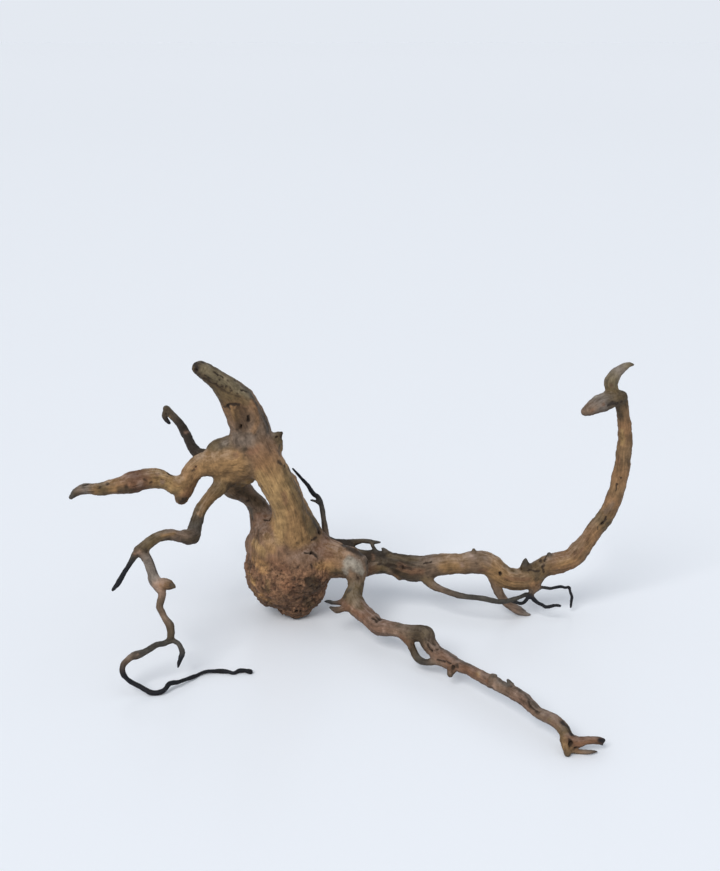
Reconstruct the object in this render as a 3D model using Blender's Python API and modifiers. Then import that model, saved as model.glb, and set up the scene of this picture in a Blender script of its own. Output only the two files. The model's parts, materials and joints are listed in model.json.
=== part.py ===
"""A dry root: one piece of weathered wood, with a round burl, a leaning trunk and long crooked limbs."""

import bmesh
import bpy
from mathutils import Matrix, Vector

MM = 0.001

NAME = "dry_root"

# How the limbs are fused into one skin.
SIDES_OF_A_LIMB = 3           # bevel resolution, which gives ten faces round a limb
STEPS_BETWEEN_POINTS = 6
BALL_DETAIL = 3               # how often the balls at the ends of the limbs are divided
MERGE_DISTANCE = 0.01 * MM
VOXEL = 1.0 * MM
SMOOTHING_PASSES = 3
SMOOTHING_FACTOR = 0.5
SMOOTHING_LOSS = 0.4          # what the smoothing takes off a limb's radius, in millimetres
TRIANGLES = 7600

# The object rests on small flats, all in the plane of the floor.
FLOOR_BLOCK_SIDE = 900 * MM
FLOOR_BLOCK_DEPTH = 40 * MM

# The limbs. Each is a route from its root to its tip, with (x, y, z, radius) at each point, in
# millimetres from the foot of the burl: +X towards the long limb, -Y to the front, +Z up.
LIMBS = {
    # The trunk leans back over the burl and ends in a broken stump.
    "trunk": [
        (1, -4, 68, 27), (0, -8, 96, 20.5), (-2, -13, 126, 17.4), (-13.5, -15, 154, 17.4),
        (-26, -13, 178, 17.5), (-40, -9, 199, 19),
    ],
    "trunk_flare": [(-6, -8, 150, 13), (4, -6, 122, 13.5), (13.5, -2, 100, 13.5), (23, 0, 80, 15.5)],
    "stump": [
        (-34, -6, 189.5, 19.2), (-41, -6, 212.5, 18.7), (-45.5, -8, 227, 17.6),
        (-52.5, -10.5, 240.5, 15.9), (-59, -14, 250.5, 12.9), (-68, -19, 261.5, 9.8),
        (-76.5, -23.5, 269.5, 8.7), (-84.5, -27, 276, 7.5),
    ],
    "stump_thorn": [(-22, -6, 190, 10), (-15, -5, 196, 6.5), (-10, -4, 201, 3.5), (-8, -4, 202.5, 1.5)],
    "thorn_heel": [(-20, -9, 178, 11), (-13, -7, 186, 6), (-10, -5, 194, 3)],
    "strut": [
        (-65.5, -3, 159.5, 13.3), (-60, 5, 143.5, 12.8), (-51, 12, 134, 10.7),
        (-42.5, 17.5, 123.5, 9.3), (-35, 19.5, 111.5, 10.9), (-31, 15.5, 101.5, 13.7),
        (-26.5, 10.5, 91, 16.8), (-17, 4, 76.5, 25.2),
    ],
    "strut_web": [(-46, -2, 159, 12), (-60, 2, 152, 9.5), (-68, 0, 146, 7)],
    # The left arm comes off the shoulder, dips at the elbow and runs out to a hooked tip.
    "shoulder": [(-28, -10, 180, 18), (-47, -9, 176, 20), (-65, -13, 175, 17.5), (-80, -17, 174, 13)],
    "shoulder_top": [(-42, -8, 198, 15), (-56, -9, 190, 12.5), (-72.5, -11, 186.5, 10.5)],
    "elbow": [
        (-76, -16, 175.5, 13.6), (-90, -19, 173.6, 10), (-97, -21, 167, 9.7),
        (-102.5, -23.5, 157, 9.3), (-106.5, -26, 148, 8.7), (-108.5, -27, 141.5, 6.5),
    ],
    "left_arm": [
        (-104, -24.5, 156.5, 8.6), (-113.5, -28, 155, 9), (-121, -30.5, 160, 7.8),
        (-128.5, -33.5, 164, 9), (-137.5, -38, 166, 9.6), (-146.5, -42.5, 166, 9.9),
        (-156, -47, 164.5, 10.5), (-165, -51.5, 164, 8.5), (-174, -55.5, 163.5, 6.9),
        (-182.5, -59, 162.5, 6.2), (-189.5, -61.5, 163.5, 4.9), (-196, -64, 164.5, 4.9),
        (-201.5, -65.5, 163.5, 4.1), (-206, -66.5, 161.5, 3.6), (-210, -68, 157.5, 1.9),
    ],
    # The back arm goes up and away, and ends in a short broken hook.
    "back_arm": [
        (-74.5, 4, 167.5, 9.2), (-88, 17, 168.5, 8.3), (-98.5, 27, 171.5, 5.8), (-105, 35, 176, 5),
        (-111.5, 47, 183.5, 4.6), (-118.5, 58.5, 190.5, 4.4), (-125.5, 67.5, 195.5, 3.9),
        (-131.5, 73.5, 199, 3.7), (-136.5, 79.5, 202.5, 3.7),
    ],
    "back_hook": [
        (-136.5, 78, 202, 3), (-139, 77, 196.5, 2.4), (-137, 75, 192.5, 2.4),
        (-133.5, 73, 189, 1.6),
    ],
    # The hanging arm drops forward from the shoulder and feeds the root that lies on the floor.
    "hanging_arm": [
        (-62.5, -14, 162, 11.7), (-71.5, -23.5, 150.5, 7.9), (-77.5, -30.5, 145.5, 6.4),
        (-82.5, -37.5, 141, 6), (-87.5, -46.5, 135, 5.5), (-90, -56, 129, 5.8),
        (-91.5, -65.5, 123, 6.6), (-93.5, -73.5, 119, 7.4), (-102.5, -84, 123, 5.6),
        (-111.5, -91, 128, 5), (-120.5, -97, 128.5, 4.9), (-128.5, -103, 125.5, 5.1),
        (-134.5, -107.5, 122, 5.2), (-139, -110, 119.5, 4.6),
    ],
    "knee": [(-95, -75, 119, 6.6), (-91.5, -73, 116.5, 5.3)],
    "dark_twig": [
        (-138.5, -110.5, 119.5, 4), (-142.5, -112, 115.5, 3.3), (-146, -112, 109.5, 2.4),
        (-151, -113.5, 102, 2), (-156, -115, 94, 2), (-160, -116.5, 87.5, 2.1),
        (-164.5, -118, 82, 1.2),
    ],
    "drop_root": [
        (-137, -109, 119, 4.6), (-132.5, -111.5, 113.5, 4.5), (-128.5, -114, 106, 4.2),
        (-126, -116.5, 99, 4.2), (-124, -118.5, 92.5, 5.3), (-120, -121.5, 87, 5),
        (-116.5, -124, 81.5, 3.4), (-117.5, -126, 75.5, 3.2), (-119, -128, 69.5, 3.4),
        (-117, -129.5, 65, 3), (-114, -131.5, 59, 3.1), (-109.5, -134, 53.5, 3.4),
        (-108, -136.5, 47, 3.5), (-108.5, -139.5, 41, 3.3),
    ],
    "drop_knob": [
        (-121.5, -121, 89.5, 5.2), (-114.5, -122.5, 90.5, 5.4), (-109.5, -125, 90.5, 4.6),
        (-104, -128, 90, 1.3),
    ],
    "knob_bud": [(-114.5, -122.5, 92.5, 2.8), (-112, -123.5, 95.5, 1.1)],
    "drop_spur": [
        (-106.5, -139.5, 40, 2.5), (-100.5, -142, 37.5, 2), (-98, -144, 33.5, 2.1),
        (-96.5, -146, 30, 2.3), (-98, -148.5, 26, 2), (-99.5, -151, 22, 1.5),
        (-100.5, -153, 18, 0.7),
    ],
    "floor_root": [
        (-109, -140, 39.5, 3), (-114, -143, 38.5, 2.4), (-119.5, -145.5, 38.5, 2.4),
        (-123.5, -148, 37.5, 2.8), (-128, -150.5, 35.5, 2.5), (-133.5, -153, 33.5, 3.1),
        (-138, -155, 32.5, 3.8), (-143, -158, 32, 2.9), (-146.5, -160, 29.5, 2.5),
        (-149.5, -163, 27, 2.4), (-150, -167, 23, 2.3), (-148.5, -169, 19, 2.2),
        (-145.5, -169.5, 15, 2), (-140.5, -169.5, 11, 2.1), (-134, -170, 7.5, 2.2),
        (-128, -172, 5, 2.2), (-123.5, -173, 3, 2.2), (-118, -172, 2, 2.2),
        (-112.5, -171, 3.5, 2.2), (-110, -168.5, 5, 2.1), (-108, -164.5, 7, 2.2),
        (-104.5, -161, 6.5, 2.1), (-100, -158.5, 6, 1.8), (-95.5, -152, 4.5, 1.6),
        (-89, -144, 3, 1.7), (-85, -138.5, 2, 1.4), (-80.5, -134.5, 2.5, 1.5),
        (-75, -132.5, 3, 1.6), (-68.5, -131, 2.5, 1.6), (-61.5, -130.5, 2, 2.1),
        (-56, -131.5, 2, 1.6), (-50, -133.5, 1.5, 1.4), (-45.5, -130.5, 2.5, 1.7),
        (-39.5, -130, 2.5, 1.7), (-34.5, -131.5, 2, 2.4),
    ],
    # The long right limb leaves the burl low, and turns up at its end like a neck.
    "neck": [(8, 0, 67, 27), (32, -4, 65, 22), (48, -9, 65, 18), (66, -16, 63, 14)],
    "right_limb": [
        (27, 6, 63, 15.8), (46, 12, 60.5, 13.8), (58.5, 13.5, 58, 12.2), (70, 13.5, 55, 11.7),
        (82, 12, 54, 12.1), (94.5, 9.5, 55, 11.4), (107, 7, 53.5, 11.6), (120, 4, 50.5, 12.9),
        (134.5, 2, 50.5, 12.8), (150, 0, 55, 11.8), (165.5, -2, 58, 10.4), (179, -3, 58.5, 10.4),
        (191.5, -3, 60.5, 11.7), (204.5, -3, 58.5, 11.5), (215.5, -4, 50, 11.1),
        (227, -5, 43, 10.7), (240.5, -5, 41.5, 11.1), (252, -4, 45.5, 11.5), (262, -3, 53.5, 9.9),
        (272.5, -2, 57, 10.7), (284, 0, 59.5, 10.6), (294, 1.5, 63, 10.3), (301.5, 3.5, 70.5, 9.7),
        (309, 5.5, 80, 8.6), (316.5, 8, 91, 8.3), (324.5, 10, 101, 8.5), (331, 11.5, 112, 8.3),
        (335.5, 13.5, 123.5, 8.1), (339, 14.5, 134, 8), (341, 15.5, 145, 8.2),
        (342.5, 16, 155.5, 8.3), (343, 16, 166.5, 7.7), (343.5, 16, 177.5, 7.6),
        (344, 15.5, 188.5, 7.4), (342, 13.5, 203.5, 6.6), (339.5, 11.5, 217, 6.1),
        (337, 9.5, 228, 6.3), (334.5, 8, 236, 6.7),
    ],
    "head": [
        (334.5, 6.5, 237, 6.9), (326, 3, 237, 8.4), (318, -3, 235.5, 8.5), (310, -8, 234.5, 8.2),
        (303.5, -12, 232, 7), (298.5, -15, 230, 5.6), (295.5, -16, 229, 4.4),
    ],
    "crest": [
        (325, 4, 245.5, 6), (323.5, 4, 253.5, 6.8), (327, 6, 260, 6), (332, 7.5, 264.5, 4.8),
        (337, 9, 268, 3.8), (341.5, 10.5, 270, 2.4), (346.5, 12, 269.5, 0.9),
    ],
    "under_rib": [
        (77.5, -9.5, 53.5, 6.3), (92.5, -2.5, 54.5, 5.8), (104, 0, 48.5, 3.8), (109, 0, 46.5, 4.2),
        (114.5, 0, 43.5, 5.1),
    ],
    "lobe": [(251.5, -6, 42, 10), (254, -8.5, 34.5, 6.1), (251.5, -10, 28.5, 2.9)],
    "prop": [
        (208.5, -4, 51.5, 6.9), (212, -5, 40.5, 4.9), (216, -5, 30.5, 4.6), (221, -5, 21, 4),
        (227, -5, 13.5, 3.9), (234.5, -4.5, 8, 4.1), (242, -4, 3.5, 3.7), (247, -6, 1.5, 2.3),
        (251, -6, 1, 1.1),
    ],
    "runner": [
        (138.5, -3.5, 46, 6.8), (143.5, -7, 40, 4.7), (149, -10, 36, 3.7), (156, -14.5, 34.5, 3),
        (165, -19.5, 33, 2.9), (175, -23.5, 31.5, 2.7), (185.5, -26.5, 31, 2.4),
        (195.5, -28.5, 31, 2.4), (205.5, -30, 29.5, 2.5), (214, -28.5, 27, 2.4),
        (222, -26, 26, 2.3), (229.5, -21.5, 26, 2.1), (238.5, -17, 26.5, 1.9), (245, -13.5, 28, 2),
        (249, -12, 27, 2),
    ],
    "runner_fork": [
        (250, -12.5, 27, 2.2), (253.5, -13.5, 22.5, 2), (258, -15, 19, 1.8),
        (262, -16.5, 17.5, 1.6), (266, -18, 15.5, 1.6), (272, -20, 18, 1.5),
        (276.5, -21.5, 19.5, 1.4), (280, -22, 19, 0.9),
    ],
    "runner_spur": [
        (248.5, -12, 26, 1.8), (245.5, -13.5, 21.5, 1.7), (241, -16, 19, 1.6),
        (234.5, -18, 21, 1.5), (229.5, -19, 22.5, 1.1),
    ],
    "hair_root": [
        (256.5, -7, 30, 2.1), (261.5, -6, 32.5, 1.6), (266, -4, 31.5, 1.4), (272, -2, 29.5, 1.4),
        (278.5, 0, 30, 1.4), (285, 2.5, 29.5, 1.5), (288.5, 3, 28, 1.3), (293, 4, 28.5, 1.4),
        (294, 4, 24, 1.3), (296.5, 4, 17, 1.3), (296, 3.5, 12.5, 1.3), (295.5, 2, 6, 1.1),
    ],
    # The front limb comes towards the front, with a side loop, and ends in a forked foot.
    "front_limb": [
        (58, -12, 66.5, 15.1), (67, -19, 59.5, 12.4), (67.5, -26.5, 48.5, 8.3),
        (66, -33, 42.5, 8.2), (64, -39.5, 36.5, 9.8), (67.5, -48.5, 32, 9.8),
        (73.5, -57.5, 29, 8.5), (81.5, -69.5, 27, 8.1), (90.5, -82, 25, 8.1), (99, -90, 27.5, 7.1),
        (108.5, -98.5, 30, 6.9), (118, -105.5, 31, 7.2), (126.5, -111, 32.5, 7.4),
        (134.5, -116.5, 34, 8), (137.5, -123.5, 28, 7.1), (144.5, -133.5, 24, 6.6),
        (154, -145, 23.5, 6), (163.5, -156.5, 22.5, 5.4), (173.5, -167, 23.5, 4.9),
        (181.5, -176.5, 23, 5), (189, -185.5, 23, 5.8), (197.5, -196, 23.5, 5.3),
        (207, -207.5, 24, 5.7), (215.5, -219, 24, 5.3), (221.5, -228, 22, 5),
        (226.5, -236, 20, 4.8), (233, -243, 19.5, 4.7), (239, -251, 20.5, 4.9),
        (244.5, -258, 19, 5.2), (248, -264.5, 15, 5.3), (248, -269.5, 10, 4.8),
        (248.5, -274, 5, 3.5), (248.5, -275.5, 2.5, 2.7),
    ],
    "upper_toe": [
        (248.5, -268.5, 13.5, 4.3), (254.5, -270, 11, 4.8), (259.5, -270, 10.5, 4.1),
        (266.5, -269, 11.5, 3.3), (273, -268, 11, 3.4), (277.5, -267, 10, 3.2),
        (280, -266, 9.5, 1.9),
    ],
    "toe_splinter": [(277.5, -267, 8.5, 1.9), (279.5, -266.5, 6, 0.9)],
    "lower_toe": [
        (249.5, -271.5, 6.5, 3.4), (253.5, -272, 4, 2.5), (260, -271, 1.5, 1.9),
        (266.5, -273, 2.5, 1.7), (271.5, -272.5, 2.5, 1.2), (274.5, -272, 2, 0.6),
    ],
    "loop_root": [
        (114, -105.5, 28.5, 5.1), (119.5, -112, 23.5, 3.9), (122.5, -118, 18.5, 3.2),
        (126, -124.5, 14, 3.1), (131, -129.5, 12, 3.2), (136.5, -134.5, 14, 2.9),
        (144, -139, 17, 2.9), (150, -144.5, 18, 3.2), (155.5, -149.5, 18, 3.6),
        (160, -153.5, 18, 3.4),
    ],
    "loop_stub": [(158, -154, 19.5, 4.3), (157, -157, 15.5, 3.9), (156, -158, 14, 2.7)],
    "front_stub": [
        (56, -43.5, 34, 4.3), (50, -45.5, 34, 2.3), (44, -47, 34.5, 1.8), (39.5, -47.5, 36, 1.7),
        (36, -48, 36.5, 1.1),
    ],
    "lower_stub": [
        (60, -49, 32, 5.7), (54, -52.5, 30.5, 3), (48.5, -55, 30, 3.2), (44, -56.5, 32.5, 2.1),
        (41.5, -57, 34, 1.2),
    ],
    "limb_thorn": [(192, -192, 29.5, 3.2), (194.5, -192, 31, 1.5)],
    "foot_thorn": [(207.5, -205, 28, 3), (204.5, -205, 33.5, 1.3)],
    # Shoots behind the neck and small dead buds along the right limb.
    "back_shoot": [
        (39.5, 11, 73.5, 8.4), (49, 15.5, 73.5, 4.9), (58.5, 19, 72, 4), (66, 21, 72.5, 2.9),
        (73.5, 22, 73.5, 2.1), (81, 22, 73, 2.2), (86, 21.5, 72.5, 1.7), (92.5, 21, 72.5, 1),
    ],
    "shoot_web": [(52.5, 13, 70.5, 5.7), (59.5, 14.5, 68.5, 4.9), (64, 14, 65, 3.8)],
    "shoot_strut": [(83, 21, 73, 1.9), (85, 17.5, 69.5, 1.7), (87.5, 12, 66.5, 2)],
    "whip": [
        (34, 14, 78, 5.3), (34.5, 18.5, 86.5, 3.5), (33, 22.5, 97.5, 2.5), (31.5, 26, 107, 2.3),
        (29.5, 28.5, 115.5, 2.1), (27, 30, 120.5, 2.1), (22.5, 31, 123, 2.1),
        (19.5, 32.5, 127, 2.1), (16.5, 34.5, 131.5, 1.8), (11, 38, 136.5, 1.6),
        (5.5, 42, 141.5, 1.4), (0, 46, 146.5, 1),
    ],
    "whip_spur": [(29, 27.5, 113.5, 1.5), (25, 27, 116.5, 1.2), (20, 26, 118.5, 0.9)],
    "bend_bud": [(245, -6, 55, 5.8), (244, -6, 61, 3.3), (244, -6, 64.5, 1.4)],
    "turn_bud": [(270, -3, 62.5, 4.7), (269, -3, 68.5, 2.2)],
    "rise_bud": [(190.5, -3, 68.5, 4.2), (190, -3, 74, 1.6)],
    "near_bud": [(101, 9, 64, 3.4), (97.5, 9, 68, 2.1), (95.5, 9, 70, 1.5)],
}

# The burl is a cluster of round lumps, given as (x, y, z, radius) like a limb's points.
BURL_LUMPS = [
    (-8, 2, 50, 41.5), (-11, 3, 76, 35.5), (-29, 0, 55, 21.5), (-31, 4, 77, 18), (11.5, 0, 30, 23.8),
    (3, -3, 20.8, 22.3), (9, -10, 59, 32), (-19, 2, 27, 20), (19, 10, 44, 22),
]

WOOD_COLOUR = (0.19, 0.11, 0.056, 1.0)
WOOD_ROUGHNESS = 0.78


def clear_scene():
    for scene_object in list(bpy.data.objects):
        bpy.data.objects.remove(scene_object, do_unlink=True)


def make_collection(name):
    collection = bpy.data.collections.new(name)
    bpy.context.scene.collection.children.link(collection)
    return collection


def evaluated_mesh(scene_object):
    depsgraph = bpy.context.evaluated_depsgraph_get()
    return bpy.data.meshes.new_from_object(scene_object.evaluated_get(depsgraph))


def limb_mesh(name, route, collection):
    """A round limb along its route, as a closed mesh."""
    curve = bpy.data.curves.new(name, "CURVE")
    curve.dimensions = "3D"
    curve.bevel_depth = MM
    curve.bevel_resolution = SIDES_OF_A_LIMB
    curve.resolution_u = STEPS_BETWEEN_POINTS
    curve.use_fill_caps = True
    spline = curve.splines.new("BEZIER")
    spline.bezier_points.add(len(route) - 1)
    for point, (x, y, z, radius) in zip(spline.bezier_points, route):
        point.co = Vector((x, y, z)) * MM
        point.radius = radius + SMOOTHING_LOSS
        point.handle_left_type = "AUTO"
        point.handle_right_type = "AUTO"
    limb = bpy.data.objects.new(name, curve)
    collection.objects.link(limb)
    mesh = evaluated_mesh(limb)
    bpy.data.objects.remove(limb, do_unlink=True)
    bpy.data.curves.remove(curve)
    return mesh


def add_ball(shape, ball):
    x, y, z, radius = ball
    place = Matrix.Translation(Vector((x, y, z)) * MM)
    bmesh.ops.create_icosphere(shape, subdivisions=BALL_DETAIL, radius=radius * MM, matrix=place)


def wood_material():
    material = bpy.data.materials.new("dry_wood")
    material.use_nodes = True
    shader = material.node_tree.nodes["Principled BSDF"]
    shader.inputs["Base Color"].default_value = WOOD_COLOUR
    shader.inputs["Roughness"].default_value = WOOD_ROUGHNESS
    shader.inputs["Metallic"].default_value = 0.0
    return material


def gather_shapes(collection):
    """All limbs and lumps in one mesh, still overlapping each other."""
    shape = bmesh.new()
    for name, route in LIMBS.items():
        mesh = limb_mesh(name, route, collection)
        shape.from_mesh(mesh)
        bpy.data.meshes.remove(mesh)
        add_ball(shape, route[0])
        add_ball(shape, route[-1])
    for lump in BURL_LUMPS:
        add_ball(shape, lump)
    bmesh.ops.remove_doubles(shape, verts=shape.verts, dist=MERGE_DISTANCE)
    gathered = bpy.data.meshes.new("gathered_shapes")
    shape.to_mesh(gathered)
    shape.free()
    return gathered


def fuse(root):
    """One closed skin round everything, smoothed where the limbs meet."""
    remesh = root.modifiers.new("fuse", "REMESH")
    remesh.mode = "VOXEL"
    remesh.voxel_size = VOXEL
    smooth = root.modifiers.new("soften", "SMOOTH")
    smooth.factor = SMOOTHING_FACTOR
    smooth.iterations = SMOOTHING_PASSES
    skin = evaluated_mesh(root)
    root.modifiers.clear()
    root.data = skin
    skin.calc_loop_triangles()
    decimate = root.modifiers.new("thin_out", "DECIMATE")
    decimate.ratio = TRIANGLES / len(skin.loop_triangles)
    thinned = evaluated_mesh(root)
    root.modifiers.clear()
    root.data = thinned
    bpy.data.meshes.remove(skin)


def rest_flats(root, cutters):
    """Cut everything that reaches below the floor, which leaves small flats to rest on."""
    bpy.ops.mesh.primitive_cube_add(size=1.0, location=(0.0, 0.0, -FLOOR_BLOCK_DEPTH / 2))
    block = bpy.context.active_object
    block.name = "floor_cutter"
    block.scale = (FLOOR_BLOCK_SIDE, FLOOR_BLOCK_SIDE, FLOOR_BLOCK_DEPTH)
    bpy.ops.object.transform_apply(location=False, rotation=False, scale=True)
    for collection in list(block.users_collection):
        collection.objects.unlink(block)
    cutters.objects.link(block)
    block.hide_render = True
    block.display_type = "WIRE"
    cut = root.modifiers.new("rest_flats", "BOOLEAN")
    cut.operation = "DIFFERENCE"
    cut.solver = "EXACT"
    cut.object = block
    flattened = evaluated_mesh(root)
    root.modifiers.clear()
    root.data = flattened


def centre(root):
    """Put the origin at the middle of the bounding box's floor."""
    xs = [vertex.co.x for vertex in root.data.vertices]
    ys = [vertex.co.y for vertex in root.data.vertices]
    shift = Vector((-(min(xs) + max(xs)) / 2, -(min(ys) + max(ys)) / 2, 0.0))
    root.data.transform(Matrix.Translation(shift))
    return shift


def build_root():
    collection = make_collection("dry_root_parts")
    cutters = make_collection("cutters")
    gathered = gather_shapes(collection)
    root = bpy.data.objects.new(NAME, gathered)
    collection.objects.link(root)
    fuse(root)
    rest_flats(root, cutters)
    shift = centre(root)
    root.data.name = NAME
    root.data.materials.clear()
    root.data.materials.append(wood_material())
    root.data.shade_smooth()
    print("burl foot at", [round(value / MM, 2) for value in shift])


clear_scene()
build_root()
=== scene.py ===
import json
import math

import bpy
import numpy as np
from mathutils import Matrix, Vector


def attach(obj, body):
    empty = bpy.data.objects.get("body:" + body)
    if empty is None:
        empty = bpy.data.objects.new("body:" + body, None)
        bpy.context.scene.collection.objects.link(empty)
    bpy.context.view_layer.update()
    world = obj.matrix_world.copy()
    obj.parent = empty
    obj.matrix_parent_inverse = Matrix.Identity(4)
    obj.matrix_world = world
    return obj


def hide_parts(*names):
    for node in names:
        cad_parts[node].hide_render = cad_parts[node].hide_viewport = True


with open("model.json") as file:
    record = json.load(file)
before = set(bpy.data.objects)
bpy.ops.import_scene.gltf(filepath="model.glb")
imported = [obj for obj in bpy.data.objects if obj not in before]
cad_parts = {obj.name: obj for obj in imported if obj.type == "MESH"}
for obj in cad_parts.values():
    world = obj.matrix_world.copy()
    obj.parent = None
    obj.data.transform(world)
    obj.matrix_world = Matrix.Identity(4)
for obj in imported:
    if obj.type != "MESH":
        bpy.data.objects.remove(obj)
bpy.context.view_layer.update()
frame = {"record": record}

mm = 0.001

# Routes and strokes are in millimetres from the foot of the burl, which is close to the rest face.
restFace = Vector(frame["record"]["mounts"][0]["pos_m"])
burlFoot = restFace - Vector((3.0, -3.0, 0.0)) * mm

# Camera: in front of the root and a little above it. Its place is also from the foot of the burl.
cameraSettings = {"place": (71.3, -1206.5, 590.6), "tilt": 72.0, "lens": 51.66, "sensor": 36.0}
cameraData = bpy.data.cameras.new("camera")
cameraData.lens = cameraSettings["lens"]
cameraData.sensor_width = cameraSettings["sensor"]
camera = bpy.data.objects.new("camera", cameraData)
camera.location = burlFoot + Vector(cameraSettings["place"]) * mm
camera.rotation_euler = (math.radians(cameraSettings["tilt"]), 0.0, 0.0)
bpy.context.scene.collection.objects.link(camera)
bpy.context.scene.camera = camera
print("camera placed")


# Node helpers, the same for shapes and for materials.

def addNode(tree, kind, inputs=None, **options):
    node = tree.nodes.new(kind)
    for option, choice in options.items():
        setattr(node, option, choice)
    for key, value in (inputs or {}).items():
        if isinstance(value, bpy.types.NodeSocket):
            tree.links.new(value, node.inputs[key])
        elif value is not None:
            node.inputs[key].default_value = value
    return node


def calc(tree, operation, a, b=0.0, c=0.0):
    return addNode(tree, "ShaderNodeMath", {0: a, 1: b, 2: c}, operation=operation).outputs[0]


def product(tree, *parts):
    total = parts[0]
    for part in parts[1:]:
        total = calc(tree, "MULTIPLY", total, part)
    return total


def addUp(tree, *parts):
    total = parts[0]
    for part in parts[1:]:
        total = calc(tree, "ADD", total, part)
    return total


def vectorCalc(tree, operation, a, b):
    return addNode(tree, "ShaderNodeVectorMath", {0: a, 1: b}, operation=operation).outputs[0]


def stretch(tree, vector, factors):
    return vectorCalc(tree, "MULTIPLY", vector, factors)


def scaleBy(tree, vector, factor):
    return addNode(tree, "ShaderNodeVectorMath", {0: vector, "Scale": factor}, operation="SCALE").outputs[0]


def ramp(tree, value, low, high, start=0.0, end=1.0):      # a smooth step
    inputs = {"Value": value, "From Min": low, "From Max": high, "To Min": start, "To Max": end}
    return addNode(tree, "ShaderNodeMapRange", inputs, interpolation_type="SMOOTHSTEP").outputs[0]


def noise(tree, vector, scale=1.0, detail=2.0, roughness=0.5, distortion=0.0):
    inputs = {"Vector": vector, "Scale": scale, "Detail": detail, "Roughness": roughness,
              "Distortion": distortion}
    return addNode(tree, "ShaderNodeTexNoise", inputs).outputs["Fac"]


def cells(tree, vector, scale=1.0, feature="F1"):
    inputs = {"Vector": vector, "Scale": scale}
    return addNode(tree, "ShaderNodeTexVoronoi", inputs, feature=feature).outputs["Distance"]


def mixColours(tree, factor, a, b):
    return addNode(tree, "ShaderNodeMix", {0: factor, 6: a, 7: b}, data_type="RGBA").outputs[2]


# a Geometry Nodes tree: one geometry in, one geometry out, and a named number input for each size
def shapeTree(name, sizes):
    tree = bpy.data.node_groups.new(name, "GeometryNodeTree")
    tree.interface.new_socket("Geometry", in_out="INPUT", socket_type="NodeSocketGeometry")
    tree.interface.new_socket("Geometry", in_out="OUTPUT", socket_type="NodeSocketGeometry")
    for label, value in sizes.items():
        kind = "NodeSocketInt" if isinstance(value, int) else "NodeSocketFloat"
        tree.interface.new_socket(label, in_out="INPUT", socket_type=kind)
    return tree, tree.nodes.new("NodeGroupInput").outputs


def finishTree(tree, geometry, material):
    real = addNode(tree, "GeometryNodeRealizeInstances", {"Geometry": geometry})
    painted = addNode(tree, "GeometryNodeSetMaterial", {"Geometry": real.outputs[0], "Material": material})
    tree.links.new(painted.outputs[0], tree.nodes.new("NodeGroupOutput").inputs[0])


def useTree(piece, tree, sizes):
    modifier = piece.modifiers.new(tree.name, "NODES")
    modifier.node_group = tree
    for item in tree.interface.items_tree:
        if item.in_out == "INPUT" and item.name in sizes:
            modifier[item.identifier] = sizes[item.name]


def ownPlace(tree):
    return tree.nodes.new("GeometryNodeInputPosition").outputs[0]


def readAttribute(tree, name, kind="FLOAT"):
    node = addNode(tree, "GeometryNodeInputNamedAttribute", {"Name": name}, data_type=kind)
    return node.outputs["Attribute"]


def writeAttribute(tree, geometry, name, value, kind="FLOAT"):
    inputs = {"Geometry": geometry, "Name": name, "Value": value}
    node = addNode(tree, "GeometryNodeStoreNamedAttribute", inputs, data_type=kind, domain="POINT")
    return node.outputs[0]


# turns what the modifiers make into the piece's own mesh
def freeze(piece):
    shape = bpy.data.meshes.new_from_object(piece.evaluated_get(bpy.context.evaluated_depsgraph_get()))
    piece.modifiers.clear()
    old = piece.data
    piece.data = shape
    bpy.data.meshes.remove(old)


def newPiece(name, data):
    piece = bpy.data.objects.new(name, data)
    bpy.context.scene.collection.objects.link(piece)
    return piece


# Routes of the limbs: x, y, z and radius at each point. Limbs that grew into each other overlap.

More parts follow.
